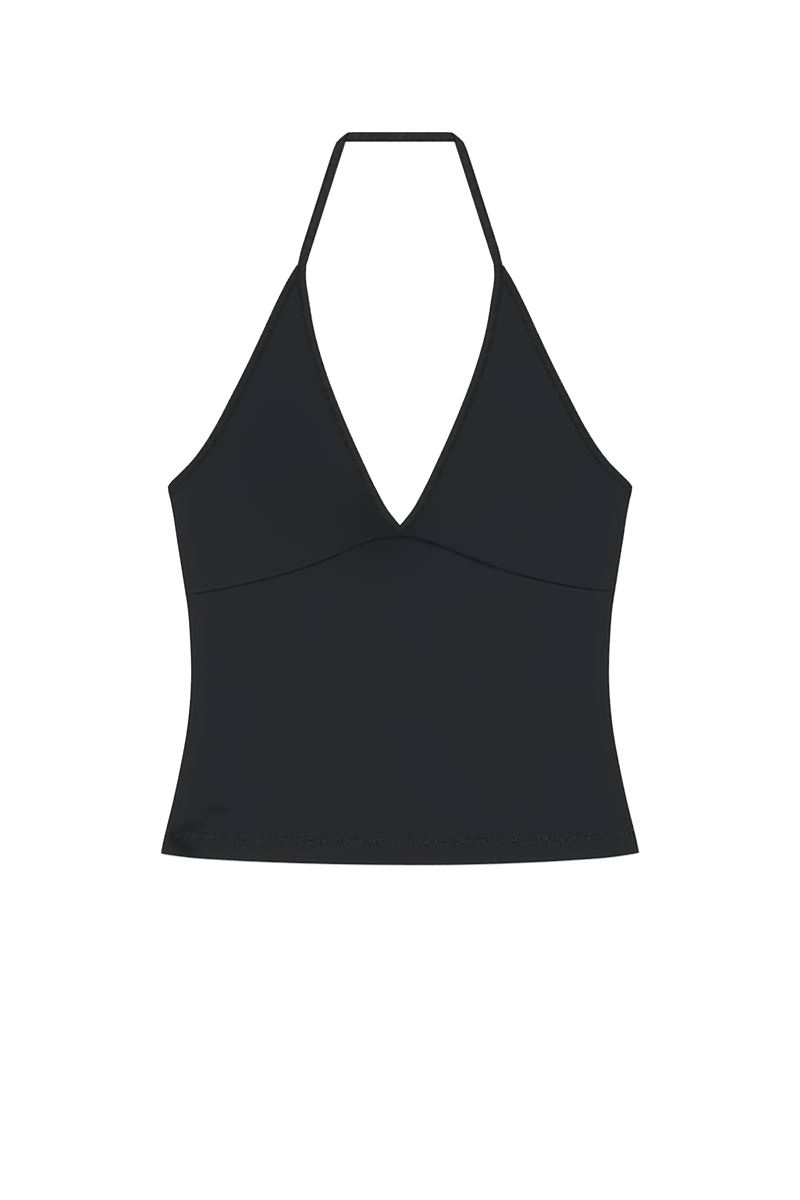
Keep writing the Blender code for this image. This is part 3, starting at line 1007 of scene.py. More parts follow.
def half_strap(strips):
    """Places on the strap's half at +X, from its middle behind the neck to the tip of the cup."""
    leg = STRAP_END - STRAP_CORNER
    leg_length = float(np.hypot(*leg))
    leg_angle = math.atan2(leg[1], leg[0])
    across_fold = np.array((-math.sin(leg_angle / 2), math.cos(leg_angle / 2)))
    fold_slant = -across_fold[1] / across_fold[0]
    radius = 0.5 * STRAP_WALL + SKIM
    bend = 0.5 * math.pi * radius
    half_crease = 0.5 * strips.width * (1 + STRAP_SPREAD) / abs(across_fold[0])
    spacing = strips.stitch / 4
    plain = np.arange(-STRAP_CORNER[0], leg_length - 0.4 * spacing, spacing)
    plain[0] = -STRAP_CORNER[0]
    reach = 2.2 * bend / across_fold[0]
    stations = np.concatenate((plain[np.abs(plain) > reach], np.linspace(-reach, reach, 23)))
    stations = np.sort(stations)
    slant = fold_slant * (1 - smooth_step(np.abs(stations), *STRAP_SLANT_FADE))
    slant += smooth_step(stations, leg_length - 30 * MM, leg_length) / math.tan(leg_angle)

    def place(station, inward, upward, thick, width):
        """The point that lies so far in from the strip's fold and up from its lower face on a leg."""
        across = 0.5 * width - inward
        along = stations[station] + slant[station] * across
        to_neck = smooth_step(stations[station], leg_length - STRAP_END_BLEND, leg_length)
        past = along * across_fold[0] + across * across_fold[1]
        spread = 1 + STRAP_SPREAD * (1 - to_neck)
        across = across * spread * (1 - CREASE_PINCH * bell(past, 0.0, CREASE_PINCH_REACH))
        past_fold = along * across_fold[0] + across * across_fold[1]
        up_fold = across * across_fold[0] - along * across_fold[1]
        turn = np.clip((past_fold + bend) / radius, 0.0, math.pi)
        folded = radius * np.sin(turn) - bend
        folded = np.where(past_fold < -bend, past_fold, np.where(past_fold > bend, -past_fold, folded))
        off_crease = np.hypot(past_fold, radius) - radius
        tilt = CREASE_TILT * np.clip(up_fold, -half_crease, 0.0) * np.exp(-off_crease / CREASE_TILT_REACH)
        flat = STRAP_CORNER[:, None] + np.stack((along, across))
        flat = flat + (folded - past_fold + tilt) * across_fold[:, None]
        lift = radius * (1 - np.cos(turn))
        lift = np.where(turn >= math.pi, lift * smooth_step(flat[1], *STRAP_COME_DOWN), lift)
        out = 0.5 * thick - upward
        x = flat[0] - np.sin(turn) * across_fold[0] * out
        y = flat[1] - np.sin(turn) * across_fold[1] * out
        z = 0.5 * thick + lift + np.cos(turn) * out
        end_x = neck_edge(APEX_Y) + inward * steepness(neck_edge, APEX_Y)
        leg_end_x = STRAP_END[0] - (0.5 * width - inward) / abs(math.sin(leg_angle))
        return np.stack((x + to_neck * (end_x - leg_end_x), y, z), axis=-1)

    def within_crease(points):
        """How far in from the crease's outermost line the points lie, seen from above."""
        from_corner = points[:, :2] - STRAP_CORNER
        up_fold = from_corner @ np.array((-across_fold[1], across_fold[0]))
        return radius - bend + CREASE_TILT * np.clip(up_fold, -half_crease, 0.0) - from_corner @ across_fold

    return stations, place, within_crease


def tip_lift(x, y):
    """How much the neck strip's lower lip lifts what it holds near the cup's tip."""
    strips = bpy.context.scene.halter_strips
    return (LOWER_LIP + 2 * SKIM) * (1 - smooth_step(past_neck(x, y), strips.width, strips.width + 4 * MM))


def neck_stitch_line(y):
    """How far in from the fold the neck strip is sewn, which is less at the point of the V."""
    line = bpy.context.scene.halter_strips.stitch_line
    return line - V_LINE_SHIFT * smooth_step(-y, *V_LINE_START)


def level_stations(edge, top, bottom, spacing):
    """Heights from top to bottom that are evenly spaced along an edge x(y)."""
    fine = np.linspace(top, bottom, 4000)
    length = np.concatenate(((0.0,), np.cumsum(np.hypot(np.diff(fine), np.diff(edge(fine))))))
    count = int(length[-1] / spacing)
    return np.interp(np.linspace(0, length[-1], count + 1), length, fine)


def run_strap(run, profile, strips):
    """Runs the strip from the middle of the strap to the tip of the cup at +X."""
    stations, place, within_crease = half_strap(strips)
    plain_lip = 0.5 * STRAP_WALL - SKIM
    for station, along in enumerate(stations):
        leg_y = place(station, np.zeros(1), np.zeros(1), STRAP_WALL, strips.width)[0][1]
        plies = 1 - smooth_step(leg_y, *STRAP_PLIES) if along > LEG_START else 0.0
        lower = plain_lip + (LOWER_LIP - plain_lip) * plies
        upper = plain_lip + (UPPER_LIP - plain_lip) * plies
        slot = 2 * SKIM + (SLOT_OVER_STRIP - 2 * SKIM) * plies
        thick = lower + slot + upper
        inward, upward = profile.ring(
            lower, slot, upper, strips.stitch_line, strips.width, plies * run.pull(), plies * CROWN
        )
        ring = place(station, inward, upward, thick, strips.width)
        faces = place(station, np.full(2, strips.stitch_line), np.array((thick, 0.0)), thick, strips.width)
        shade = profile.shade(inward, strips.stitch_line, strips.width, run.sew_to(*faces), 1 - plies)
        if along < 0:
            shade = shade + LEG_SHADE * (1 - smooth_step(-along, 0, LEG_SHADE_REACH))
        else:
            shade = shade + STRAP_SLOPE * (1 - plies) * (2 * inward / strips.width - 1)
        shade = shade + CREASE_SHADE * outline_shade(within_crease(ring))
        strength, patches = STRAP_MOTTLE
        mottle = np.array([noise.noise(Vector(point) * patches) for point in ring])
        shade = shade + (1 - plies) * strength * mottle
        run.add(ring, shade, plies * profile.past_line(inward, strips.stitch_line))


def run_neck_edge(run, profile, strips):
    """Runs the strip on from the tip of the cup to below the point of the V."""
    for y in level_stations(neck_edge, APEX_Y, underbust_seam(0.0) + 0.12 * MM, strips.stitch / 4):
        line_in = neck_stitch_line(y)
        slot = SLOT + (SLOT_OVER_STRIP - SLOT) * smooth_step(y, *TIP_PLIES)
        inward, upward = profile.ring(LOWER_LIP, slot, UPPER_LIP, line_in, strips.width, run.pull())
        steep = steepness(neck_edge, y)
        x = neck_edge(y) + inward * steep
        ys = np.full_like(x, y)
        near_seam = np.maximum(rolled(above(underbust_seam, x, ys), CUP_ROLL), 0.15)
        z = front_rest(x, ys) + over_flange(x, ys) + upward * near_seam
        line_x = neck_edge(y) + line_in * steep
        base = float(front_rest(line_x, y) + over_flange(line_x, y))
        stitches = run.sew_to(*upright(line_x, y, base + LOWER_LIP + slot + UPPER_LIP, base))
        shade = profile.shade(inward, line_in, strips.width, stitches)
        to_v = smooth_step(V_POINT_Y - y, *V_SHADE_REACH)
        shade = shade + V_SHADE * to_v * smooth_step(inward, line_in + 0.1 * MM, line_in + 0.9 * MM)
        shade = shade + seam_shade(above(underbust_seam, x, ys), x)
        run.add(stacked(x, ys, z), shade, profile.past_line(inward, line_in))


def neck_strip_shape():
    """The whole neck strip: its half, cut at the mitre on the middle line, and mirrored."""
    strips = bpy.context.scene.halter_strips
    profile, run = StripProfile(), StripRun(strips.stitch)
    run_strap(run, profile, strips)
    run_neck_edge(run, profile, strips)
    shape = run.shape()
    geometry = shape.verts[:] + shape.edges[:] + shape.faces[:]
    bmesh.ops.bisect_plane(
        shape, geom=geometry, dist=1e-7, plane_co=(0, 0, 0), plane_no=(1, 0, 0), clear_inner=True
    )
    for beside in MITRE_CUTS:
        at_mitre = [face for face in shape.faces if face.calc_center_median().y < V_POINT_Y]
        edges = {edge for face in at_mitre for edge in face.edges}
        verts = {vert for face in at_mitre for vert in face.verts}
        geometry = [*verts, *edges, *at_mitre]
        bmesh.ops.bisect_plane(shape, geom=geometry, dist=1e-7, plane_co=(beside, 0, 0), plane_no=(1, 0, 0))
    geometry = shape.verts[:] + shape.edges[:] + shape.faces[:]
    bmesh.ops.mirror(shape, geom=geometry, axis="X", merge_dist=2e-6)
    close_ends(shape)
    press_mitre(shape)
    return shape, run.lines()


def press_mitre(shape):
    """Presses the mitre's groove in from where the stitch lines meet to the seam, and leans it a little."""
    shade_layer = shape.verts.layers.float["fold_shade"]
    darker, lighter = MITRE_SHADES
    for vert in shape.verts:
        x, y, z = vert.co
        if y > V_POINT_Y:
            continue
        below = float(smooth_step(V_POINT_Y - y, *MITRE_START))
        groove = below * float(bell(x, 0.0, MITRE_REACH))
        painted_highlight = below * float(bell(x, 2.2 * MITRE_REACH, MITRE_REACH))
        rest = float(front_rest(x, y) + over_flange(x, y))
        share = (z - rest) / STRIP_WALL
        vert.co.z -= MITRE_DEPTH * groove * float(smooth_step(share, 0.5, 1.0))
        # painted shade in the groove and a painted highlight beside it
        vert[shade_layer] = min(1.0, vert[shade_layer] + darker * groove - lighter * painted_highlight)
        vert.co.x += mitre_lean(x, y)


def mitre_lean(x, y):
    """How far the mitre at the point of the V leans to the right."""
    lean = smooth_step(V_POINT_Y - y, 0.0, 9 * MM) * (1 - smooth_step(abs(x), 2 * MM, 9 * MM))
    return MITRE_LEAN * float(lean)


def strip_cut(rings):
    """Where each point of a strip lies on its flat cut: along it, and across it."""

    def lengths(points):
        return np.concatenate(((0.0,), np.cumsum(np.linalg.norm(np.diff(points, axis=0), axis=1))))

    middle_ring = rings[len(rings) // 2]
    along, around = lengths(rings[:, 0]), lengths(np.concatenate((middle_ring, middle_ring[:1])))
    return np.stack(np.meshgrid(along, around, indexing="ij"), axis=-1)


def armhole_strip_shape(hand):
    strips = bpy.context.scene.halter_strips
    profile, run = StripProfile(), StripRun(strips.stitch)
    for y in level_stations(armhole_edge, APEX_Y - 0.5 * MM, ARMHOLE_END_Y, strips.stitch / 4):
        inward, upward = profile.ring(LOWER_LIP, SLOT, UPPER_LIP, strips.stitch_line, strips.width, run.pull())
        steep = steepness(armhole_edge, y)
        room = (armhole_edge(y) - neck_edge(y) - TIP_ROOM) / (strips.width * steep)
        steep = steep * min(1.0, room)
        x = armhole_edge(y) - inward * steep
        ys = np.full_like(x, y)
        side = within(side_edge, x, ys) if y < UNDERARM_Y else np.ones_like(x)
        end = np.maximum(rolled(side, 1.2 * MM), END_SHARE)
        line_x = armhole_edge(y) - strips.stitch_line * steep
        base = float(front_rest(line_x, y) + tip_lift(line_x, y))
        stitches = run.sew_to(*upright(line_x, y, base + STRIP_WALL, base))
        pressed = 1 - past_underarm(y)
        shade = profile.shade(inward, strips.stitch_line, strips.width, stitches, pressed=pressed)
        ring = stacked(x, ys, front_rest(x, ys) + tip_lift(x, ys) + upward * end)
        run.add(ring, np.maximum(shade, outline_shade(side)), profile.past_line(inward, strips.stitch_line))
    shape = run.shape()
    cut_along_side(shape)
    close_ends(shape)
    if hand < 0:
        bmesh.ops.scale(shape, vec=(-1, 1, 1), verts=shape.verts)
        bmesh.ops.reverse_faces(shape, faces=shape.faces)
    lines = run.lines()
    x, y, _ = lines["upper"].T
    kept = (y > UNDERARM_Y) | (within(side_edge, x, np.minimum(y, UNDERARM_Y)) > SEWN_TO)
    return shape, kept_lines(lines, kept, hand)


def cut_along_side(shape):
    """Cuts a strip off along the side seam at +X."""
    low, high = (Vector((float(side_edge(y)), y, 0)) for y in SIDE_CUT_Y)
    side_line = (high - low).normalized()
    bmesh.ops.bisect_plane(
        shape,
        geom=shape.verts[:] + shape.edges[:] + shape.faces[:],
        dist=1e-7,
        plane_co=high,
        plane_no=(side_line.y, -side_line.x, 0),
        clear_outer=True,
    )


def kept_lines(lines, kept, hand=1):
    """The part of a strip's stitch lines that is kept, on the left where the hand is -1."""
    lines = {name: line[kept] for name, line in lines.items()}
    for face in ("upper", "lower"):
        lines[face] = lines[face] * np.array((hand, 1, 1))
    return lines


def back_strip_shape():
    strips = bpy.context.scene.halter_strips
    profile, run = StripProfile(fold_depth=BACK_FOLD_DEPTH), StripRun(strips.stitch)
    lower, slot = BACK_LOWER_LIP - SKIM, BACK_CLOTH_IN_SLOT + 2 * SKIM
    thick = lower + slot + BACK_UPPER_LIP
    top = LAYER_WALL - SKIM
    half = float(side_edge(BACK_EDGE_Y))

    def place(share, inward):
        """The place so far in from the back's edge, at a share of the way from its middle to its side."""
        x = share * half * np.ones_like(inward)
        for _ in range(6):
            y = back_edge(x) - inward * steepness(back_edge, x)
            x = share * side_edge(y)
        return x, y

    for share in np.linspace(-1, 1, int(2 * half * BACK_LENGTH_SHARE / (strips.stitch / 4))):
        pull = BACK_PULL * run.pull()
        inward, upward = profile.ring(lower, slot, BACK_UPPER_LIP, strips.stitch_line, strips.width, pull, 0.0)
        x, y = place(share, inward)
        side = within(side_edge, x, y)
        end = np.maximum(rolled(side, 1.0 * MM), END_SHARE)
        stitches = run.sew_to(*upright(*place(share, strips.stitch_line), top, top - thick))
        shade = profile.shade(inward, strips.stitch_line, strips.width, stitches)
        ring = stacked(x, y, top - upward * end)
        run.add(ring, np.maximum(shade, outline_shade(side)), profile.past_line(inward, strips.stitch_line))
    shape = run.shape()
    close_ends(shape)
    return shape, run.lines()


# --- Sewing ---


def thread_shape(line, up, measure, pitch, radius, sink, seed):
    """One row of stitches as a tube along a line on the cloth, which dips under it at each needle hole.

    The holes are at the multiples of the pitch in the measure, which grows along the line.
    """
    per_stitch, sides = 8, 6
    first, last = math.ceil(measure[0] / pitch), math.floor(measure[-1] / pitch)
    count = last - first
    at = pitch * np.linspace(first, last, count * per_stitch + 1)
    centre = np.stack([np.interp(at, measure, line[:, axis]) for axis in range(3)], axis=-1)
    up = np.stack([np.interp(at, measure, up[:, axis]) for axis in range(3)], axis=-1)
    forward = np.gradient(centre, axis=0)
    sideways = np.cross(up, forward)
    sideways /= np.linalg.norm(sideways, axis=1)[:, None]
    phase = (at / pitch) % 1.0
    stitch = np.clip(np.floor(at / pitch).astype(int) - first, 0, count - 1)
    random = np.random.default_rng(seed)
    lean = random.normal(0, 0.22, count)[stitch] * radius
    proud = 1 + random.normal(0, 0.08, count)[stitch]
    arch = np.sqrt(np.sin(np.pi * phase))
    height = radius * (-1.7 + 2.15 * arch * proud) - sink
    centre = centre + up * height[:, None] + sideways * (lean * (2 * phase - 1))[:, None]
    angles = np.linspace(0, 2 * np.pi, sides, endpoint=False)
    rings = centre[:, None] + radius * (
        np.cos(angles)[None, :, None] * sideways[:, None] + np.sin(angles)[None, :, None] * up[:, None]
    )
    shape = tube_shape(rings, strip_cut(rings))
    close_ends(shape)
    return shape


def joined(shapes):
    """The shapes' meshes in one."""
    whole = bmesh.new()
    for shape in shapes:
        part = bpy.data.meshes.new("part")
        shape.to_mesh(part)
        shape.free()
        whole.from_mesh(part)
        bpy.data.meshes.remove(part)
    return whole


def strip_threads(lines, seed):
    """The rows of stitches on both faces of a strip, along its stitch line."""
    strips = bpy.context.scene.halter_strips
    radius = 0.5 * strips.thread
    shapes = []
    for place, (face, other, sink) in enumerate((
        ("upper", "lower", 0.5 * CHANNEL_DEPTH),
        ("lower", "upper", UNDERSIDE_SINK * radius),
    )):
        line = lines[face]
        up = line - lines[other]
        up /= np.linalg.norm(up, axis=1)[:, None]
        measure = lines["sewn"]
        shapes.append(thread_shape(line, up, measure, strips.stitch, radius, sink, seed + place))
    return shapes


def hem_threads(height, up, seed):
    """The hem's two rows on one face of the top."""
    strips = bpy.context.scene.halter_strips
    radius = 0.5 * strips.thread
    sink = 0.5 * CHANNEL_DEPTH if up > 0 else UNDERSIDE_SINK * radius
    shapes = []
    for row in (strips.hem_row, strips.hem_row + strips.hem_gauge):
        row_line = inset(hem_edge, row)
        reach = meeting(side_edge, row_line) - 1.2 * MM
        x = np.linspace(-reach, reach, 700)
        y = row_line(x)
        line = np.stack((x, y, height(x, y)), axis=-1)
        ups = np.tile(np.array((0.0, 0.0, up)), (len(x), 1))
        shapes.append(thread_shape(line, ups, x, strips.hem_stitch, radius, sink, seed))
    return shapes


# --- Finishes ---


def add_node(tree, kind, links=None, **settings):
    """A node with its settings, whose inputs are linked to sockets or set to values."""
    made = tree.nodes.new(kind)
    for name, value in settings.items():
        setattr(made, name, value)
    for socket, value in (links or {}).items():
        if isinstance(value, bpy.types.NodeSocket):
            tree.links.new(value, made.inputs[socket])
        else:
            made.inputs[socket].default_value = value
    return made


def calculate(tree, operation, first, second=0.0):
    return add_node(tree, "ShaderNodeMath", {0: first, 1: second}, operation=operation).outputs[0]


def node_sum(tree, *parts):
    total = parts[0]
    for part in parts[1:]:
        total = calculate(tree, "ADD", total, part)
    return total


def knit_height(tree, across, along):
    """The height of fine plain knit: ribs of loops that lean to both sides of each column's middle."""
    finish = bpy.context.scene.halter_finish
    column = calculate(tree, "DIVIDE", across, finish.wale)
    lean = calculate(tree, "MULTIPLY", calculate(tree, "PINGPONG", column, 0.5), 1.1)
    row = calculate(tree, "ADD", calculate(tree, "DIVIDE", along, finish.course), lean)
    loops = calculate(tree, "SINE", calculate(tree, "MULTIPLY", row, 2 * math.pi))
    rib = calculate(tree, "COSINE", calculate(tree, "MULTIPLY", column, 2 * math.pi))
    return calculate(tree, "ADD", calculate(tree, "MULTIPLY", loops, 0.35), rib)


def from_middle(tree, value, middle, gain):
    return calculate(tree, "MULTIPLY", calculate(tree, "SUBTRACT", value, middle), gain)


def fading(tree, distance, reach):
    """From 1 at no distance to 0 at the reach and past it."""
    near = calculate(tree, "SUBTRACT", 1.0, calculate(tree, "DIVIDE", distance, reach))
    return calculate(tree, "MAXIMUM", near, 0.0)


def hem_row_shade(tree, height, along, row, strength):
    """The painted shade and highlight of one row of the hem's stitches, each of which has its own strength."""
    on_row = fading(tree, calculate(tree, "ABSOLUTE", calculate(tree, "SUBTRACT", height, row)), HEM_ROW_REACH)
    wave = calculate(tree, "COSINE", calculate(tree, "MULTIPLY", along, 2 * math.pi))
    each = calculate(tree, "FLOOR", calculate(tree, "ADD", along, 0.5))
    place = add_node(tree, "ShaderNodeCombineXYZ", {"X": each, "Y": row / MM}).outputs["Vector"]
    chance = add_node(tree, "ShaderNodeTexWhiteNoise", {"Vector": place}).outputs["Value"]
    gain, least = HEM_STITCH_GAIN
    own = calculate(tree, "ADD", calculate(tree, "MULTIPLY", chance, gain), least)
    wave = calculate(tree, "MULTIPLY", wave, own)
    wave = calculate(tree, "ADD", wave, from_middle(tree, chance, *HEM_STITCH_LEAN))
    return calculate(tree, "MULTIPLY", calculate(tree, "MULTIPLY", wave, strength), on_row)


def hem_shade(tree, across):
    """The painted shade of the hem at its needle holes and puckers, with painted highlights on the stitches' and
    the puckers' tops.
    """
    strips = bpy.context.scene.halter_strips
    height = add_node(tree, "ShaderNodeAttribute", attribute_name="hem_height").outputs["Fac"]
    along = calculate(tree, "DIVIDE", across, strips.hem_stitch)
    rows = (strips.hem_row, strips.hem_row + strips.hem_gauge)
    parts = [hem_row_shade(tree, height, along, row, strength) for row, strength in zip(rows, HEM_ROW_SHADES)]
    middle, half_height = HEM_BAND
    off_middle = calculate(tree, "SUBTRACT", height, strips.hem_row + middle * strips.hem_gauge)
    inside = fading(tree, calculate(tree, "ABSOLUTE", off_middle), half_height * strips.hem_gauge)
    slant, strength = HEM_ZIGZAG
    slant = calculate(tree, "ADD", along, calculate(tree, "DIVIDE", off_middle, slant * strips.hem_gauge))
    zigzag = calculate(tree, "SINE", calculate(tree, "MULTIPLY", slant, 4 * math.pi))
    parts.append(calculate(tree, "MULTIPLY", calculate(tree, "MULTIPLY", zigzag, inside), strength))
    patches, strength = HEM_UNEVEN
    half_up = calculate(tree, "MULTIPLY", height, 0.5)
    place = add_node(tree, "ShaderNodeCombineXYZ", {"X": across, "Y": half_up}).outputs["Vector"]
    uneven = noise_share(tree, place, patches, 0.0)
    band = calculate(tree, "MINIMUM", calculate(tree, "MULTIPLY", inside, 2.5), 1.0)
    parts.append(calculate(tree, "MULTIPLY", from_middle(tree, uneven, 0.5, strength), band))
    patches, low, high, least = HEM_TENSION
    place = add_node(tree, "ShaderNodeCombineXYZ", {"X": across}).outputs["Vector"]
    tension = noise_share(tree, place, patches, 2.0)
    tension = add_node(
        tree, "ShaderNodeMapRange", {"Value": tension, "From Min": low, "From Max": high, "To Min": least}
    ).outputs["Result"]
    return calculate(tree, "MULTIPLY", node_sum(tree, *parts), tension)


def noise_share(tree, place, patches, detail):
    """Noise from 0 to 1 with so many patches in a metre."""
    return add_node(
        tree, "ShaderNodeTexNoise", {"Vector": place, "Scale": patches, "Detail": detail}
    ).outputs["Fac"]


def surface_of(material, levels, color=None):
    """The material's surface, with its roughness and specular level."""
    material.use_nodes = True
    surface = material.node_tree.nodes["Principled BSDF"]
    surface.inputs["Roughness"].default_value, surface.inputs["Specular IOR Level"].default_value = levels
    if color:
        surface.inputs["Base Color"].default_value = (*color, 1.0)
    return surface


def raise_surface(tree, surface, height, bump):
    strength, distance = bump
    links = {"Height": height, "Strength": strength, "Distance": distance}
    tree.links.new(add_node(tree, "ShaderNodeBump", links).outputs["Normal"], surface.inputs["Normal"])


def shade_gains(tree, place, shade, tints):
    """What the cloth's colour is multiplied by: broad patches, fibres, and its painted glow, highlights and
    shade.
    """
    broad = add_node(
        tree, "ShaderNodeTexNoise", {"Vector": place, "Scale": 9.0, "Detail": 3.0, "Roughness": 0.55}
    ).outputs["Fac"]
    spread = add_node(
        tree, "ShaderNodeMapRange", {"Value": broad, "From Min": 0.35, "From Max": 0.65}
    ).outputs["Result"]
    fibres = calculate(tree, "MULTIPLY", noise_share(tree, place, 2600.0, 2.0), FIBRE_SHARE)
    in_fold = clamped(tree, shade)
    painted_light_share = clamped(tree, calculate(tree, "MULTIPLY", shade, -1.0))
    glow = clamped(tree, calculate(tree, "DIVIDE", painted_light_share, GLOW))
    past_glow = clamped(tree, calculate(tree, "SUBTRACT", painted_light_share, GLOW))
    glowing, painted_highlight = ((*tint, 1.0) for tint in tints)
    gains = mix_colours(tree, spread, WARM_PATCH, COOL_PATCH)
    gains = mix_colours(tree, fibres, gains, FIBRE_LIGHT)
    gains = mix_colours(tree, glow, gains, mix_colours(tree, 1.0, gains, glowing, "MULTIPLY"))
    gains = mix_colours(tree, past_glow, gains, painted_highlight)
    return mix_colours(tree, in_fold, gains, (*DARKEST, 1.0))


def fabric_material(name, color, tints, levels, hemmed=False, panel_color=None):
    """Fine jersey on the piece's flat cut. It has painted shade where it is folded or sewn in, and painted light
    where its shade is below 0.

    A strip's knit is turned, and the strip takes on the panels' colour beyond its sewing.
    """
    material = bpy.data.materials.new(name)
    surface = surface_of(material, levels)
    tree = material.node_tree
    cut = add_node(tree, "ShaderNodeUVMap", uv_map="cut").outputs["UV"]
    parts = add_node(tree, "ShaderNodeSeparateXYZ", {"Vector": cut})
    across, along = parts.outputs["X"], parts.outputs["Y"]
    place = add_node(tree, "ShaderNodeTexCoord").outputs["Object"]
    # painted shade, and painted light where the value is negative, read from each vertex's attribute
    shade = add_node(tree, "ShaderNodeAttribute", attribute_name="fold_shade").outputs["Fac"]
    dyed = (*color, 1.0)
    relief = knit_height(tree, along, across) if panel_color else knit_height(tree, across, along)
    if hemmed:
        shade = calculate(tree, "ADD", shade, hem_shade(tree, across))
        relief = calculate(tree, "SUBTRACT", relief, calculate(tree, "MULTIPLY", shade, 2.0))
    if panel_color:
        strength, patches = BINDING_MOTTLE
        mottle = add_node(tree, "ShaderNodeTexNoise", {"Vector": place, "Scale": patches}).outputs["Fac"]
        shade = calculate(tree, "ADD", shade, from_middle(tree, mottle, 0.5, strength))
        tone = add_node(tree, "ShaderNodeAttribute", attribute_name="panel_tone").outputs["Fac"]
        dyed = mix_colours(tree, tone, dyed, (*panel_color, 1.0))
    gains = shade_gains(tree, place, shade, tints)
    tree.links.new(mix_colours(tree, 1.0, dyed, gains, "MULTIPLY"), surface.inputs["Base Color"])
    raise_surface(tree, surface, relief, KNIT_BUMP)
    surface.inputs["Sheen Weight"].default_value = bpy.context.scene.halter_finish.sheen
    surface.inputs["Sheen Roughness"].default_value = SHEEN_ROUGHNESS
    surface.inputs["Sheen Tint"].default_value = SHEEN_TINT
    return material


def clamped(tree, value):
    return calculate(tree, "MINIMUM", calculate(tree, "MAXIMUM", value, 0.0), 1.0)


def tinted(color, gains):
    return tuple(part * gain for part, gain in zip(color, gains)) + (1.0,)


def mix_colours(tree, factor, first, second, blend="MIX"):
    """The colour that lies so far from the first to the second, or to the blend of both."""
    made = tree.nodes.new("ShaderNodeMix")
    made.data_type = "RGBA"
    made.blend_type = blend
    sockets = {item.identifier: item for item in made.inputs}
    pairs = (("Factor_Float", factor), ("A_Color", first), ("B_Color", second))
    for identifier, value in pairs:
        if isinstance(value, bpy.types.NodeSocket):
            tree.links.new(value, sockets[identifier])
        else:
            sockets[identifier].default_value = value
    return next(item for item in made.outputs if item.identifier == "Result_Color")


def thread_material(name, color):
    """Thread on its own length, whose plies are twisted round each other, with painted light on their crests and
    painted shade between them.
    """
    material = bpy.data.materials.new(name)
    surface = surface_of(material, THREAD_SURFACE)
    tree = material.node_tree
    cut = add_node(tree, "ShaderNodeUVMap", uv_map="cut").outputs["UV"]
    parts = add_node(tree, "ShaderNodeSeparateXYZ", {"Vector": cut})
    twist = calculate(tree, "ADD", parts.outputs["X"], calculate(tree, "MULTIPLY", parts.outputs["Y"], 0.8))
    plies = calculate(tree, "SINE", calculate(tree, "MULTIPLY", twist, 2 * math.pi / THREAD_TWIST))
    # painted highlight on the plies' crests and painted shade in the grooves between them
    light, dark = tinted(color, (1.35, 1.35, 1.35)), tinted(color, (0.75, 0.75, 0.75))
    share = calculate(tree, "ADD", calculate(tree, "MULTIPLY", plies, 0.5), 0.5)
    tree.links.new(mix_colours(tree, share, dark, light), surface.inputs["Base Color"])
    raise_surface(tree, surface, plies, THREAD_BUMP)
    return material


def material_named(name, make, *values, **options):
    """The material of that name, which is made when it is first asked for."""
    return bpy.data.materials.get(name) or make(name, *values, **options)


def jersey_material(hemmed=False):
    name = "hemmed_jersey" if hemmed else "black_jersey"
    color = tuple(bpy.context.scene.halter_finish.jersey)
    return material_named(name, fabric_material, color, JERSEY_TINTS, JERSEY_SURFACE, hemmed)


def binding_material():
    finish = bpy.context.scene.halter_finish
    color, panel_color = tuple(finish.binding), tuple(finish.jersey)
    return material_named(
        "binding_jersey", fabric_material, color, BINDING_TINTS, BINDING_SURFACE, panel_color=panel_color
    )


def sewing_material():
    return material_named("sewing_thread", thread_material, tuple(bpy.context.scene.halter_finish.thread))


def hem_thread_material():
    return material_named("hem_thread", thread_material, tuple(bpy.context.scene.halter_finish.hem_thread))


# --- Operators ---


class HALTER_OT_back(bpy.types.Operator):
    """Lay the back with its turned-up hem, and sew the hem"""

    bl_idname = "halter.back"
    bl_label = "Back"

    def execute(self, context):
        shape, x, y = back_panel_shape()
        piece = finished_object("back", shape, jersey_material(hemmed=True))
        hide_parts("back_panel")
        threads = joined(hem_threads(lambda x, y: np.zeros_like(x), -1.0, seed=11))
        sewing = finished_object("back_hem_stitches", threads, hem_thread_material())
        return {"FINISHED"}


class HALTER_OT_lower_front(bpy.types.Operator):
    """Lay the lower front with its turned-up hem, and sew the hem"""

    bl_idname = "halter.lower_front"
    bl_label = "Lower front"

    def execute(self, context):
        shape, x, y = front_body_shape()
        piece = finished_object("lower_front", shape, jersey_material(hemmed=True))
        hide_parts("front_body")

        def top(x, y):
            return front_rest(x, y) + SKIM + panel_wall(x, y) - hollow_depth(x, y)

        threads = joined(hem_threads(top, 1.0, seed=21))
        sewing = finished_object("front_hem_stitches", threads, hem_thread_material())
        return {"FINISHED"}


class HALTER_OT_cups(bpy.types.Operator):
    """Lay the two triangular cups"""

    bl_idname = "halter.cups"
    bl_label = "Cups"

    def execute(self, context):
        for side, hand in (("left", -1), ("right", 1)):
            shape, x, y = cup_shape(hand)
            piece = finished_object(f"cup_cloth_{side}", shape, jersey_material())
            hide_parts(f"cup_{side}")
        return {"FINISHED"}


class HALTER_OT_neck_strip(bpy.types.Operator):
    """Fold the strip that binds the neck and goes round it as the strap, and sew it"""

    bl_idname = "halter.neck_strip"
    bl_label = "Neck strip"

    def execute(self, context):
        shape, lines = neck_strip_shape()
        piece = finished_object("neck_strip", shape, binding_material())
        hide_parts("neck_binding_left", "neck_strap", "neck_binding_right")
        x, y, _ = lines["upper"].T
        sewn = (x >= 0) & (y < SEWN_BELOW)
        threads = []
        for hand, seed in ((-1, 31), (1, 35)):
            threads += strip_threads(kept_lines(lines, sewn, hand), seed)
        for vert in (vert for thread in threads for vert in thread.verts):
            vert.co.x += mitre_lean(vert.co.x, vert.co.y)
        sewing = finished_object("neck_stitches", joined(threads), sewing_material())
        return {"FINISHED"}


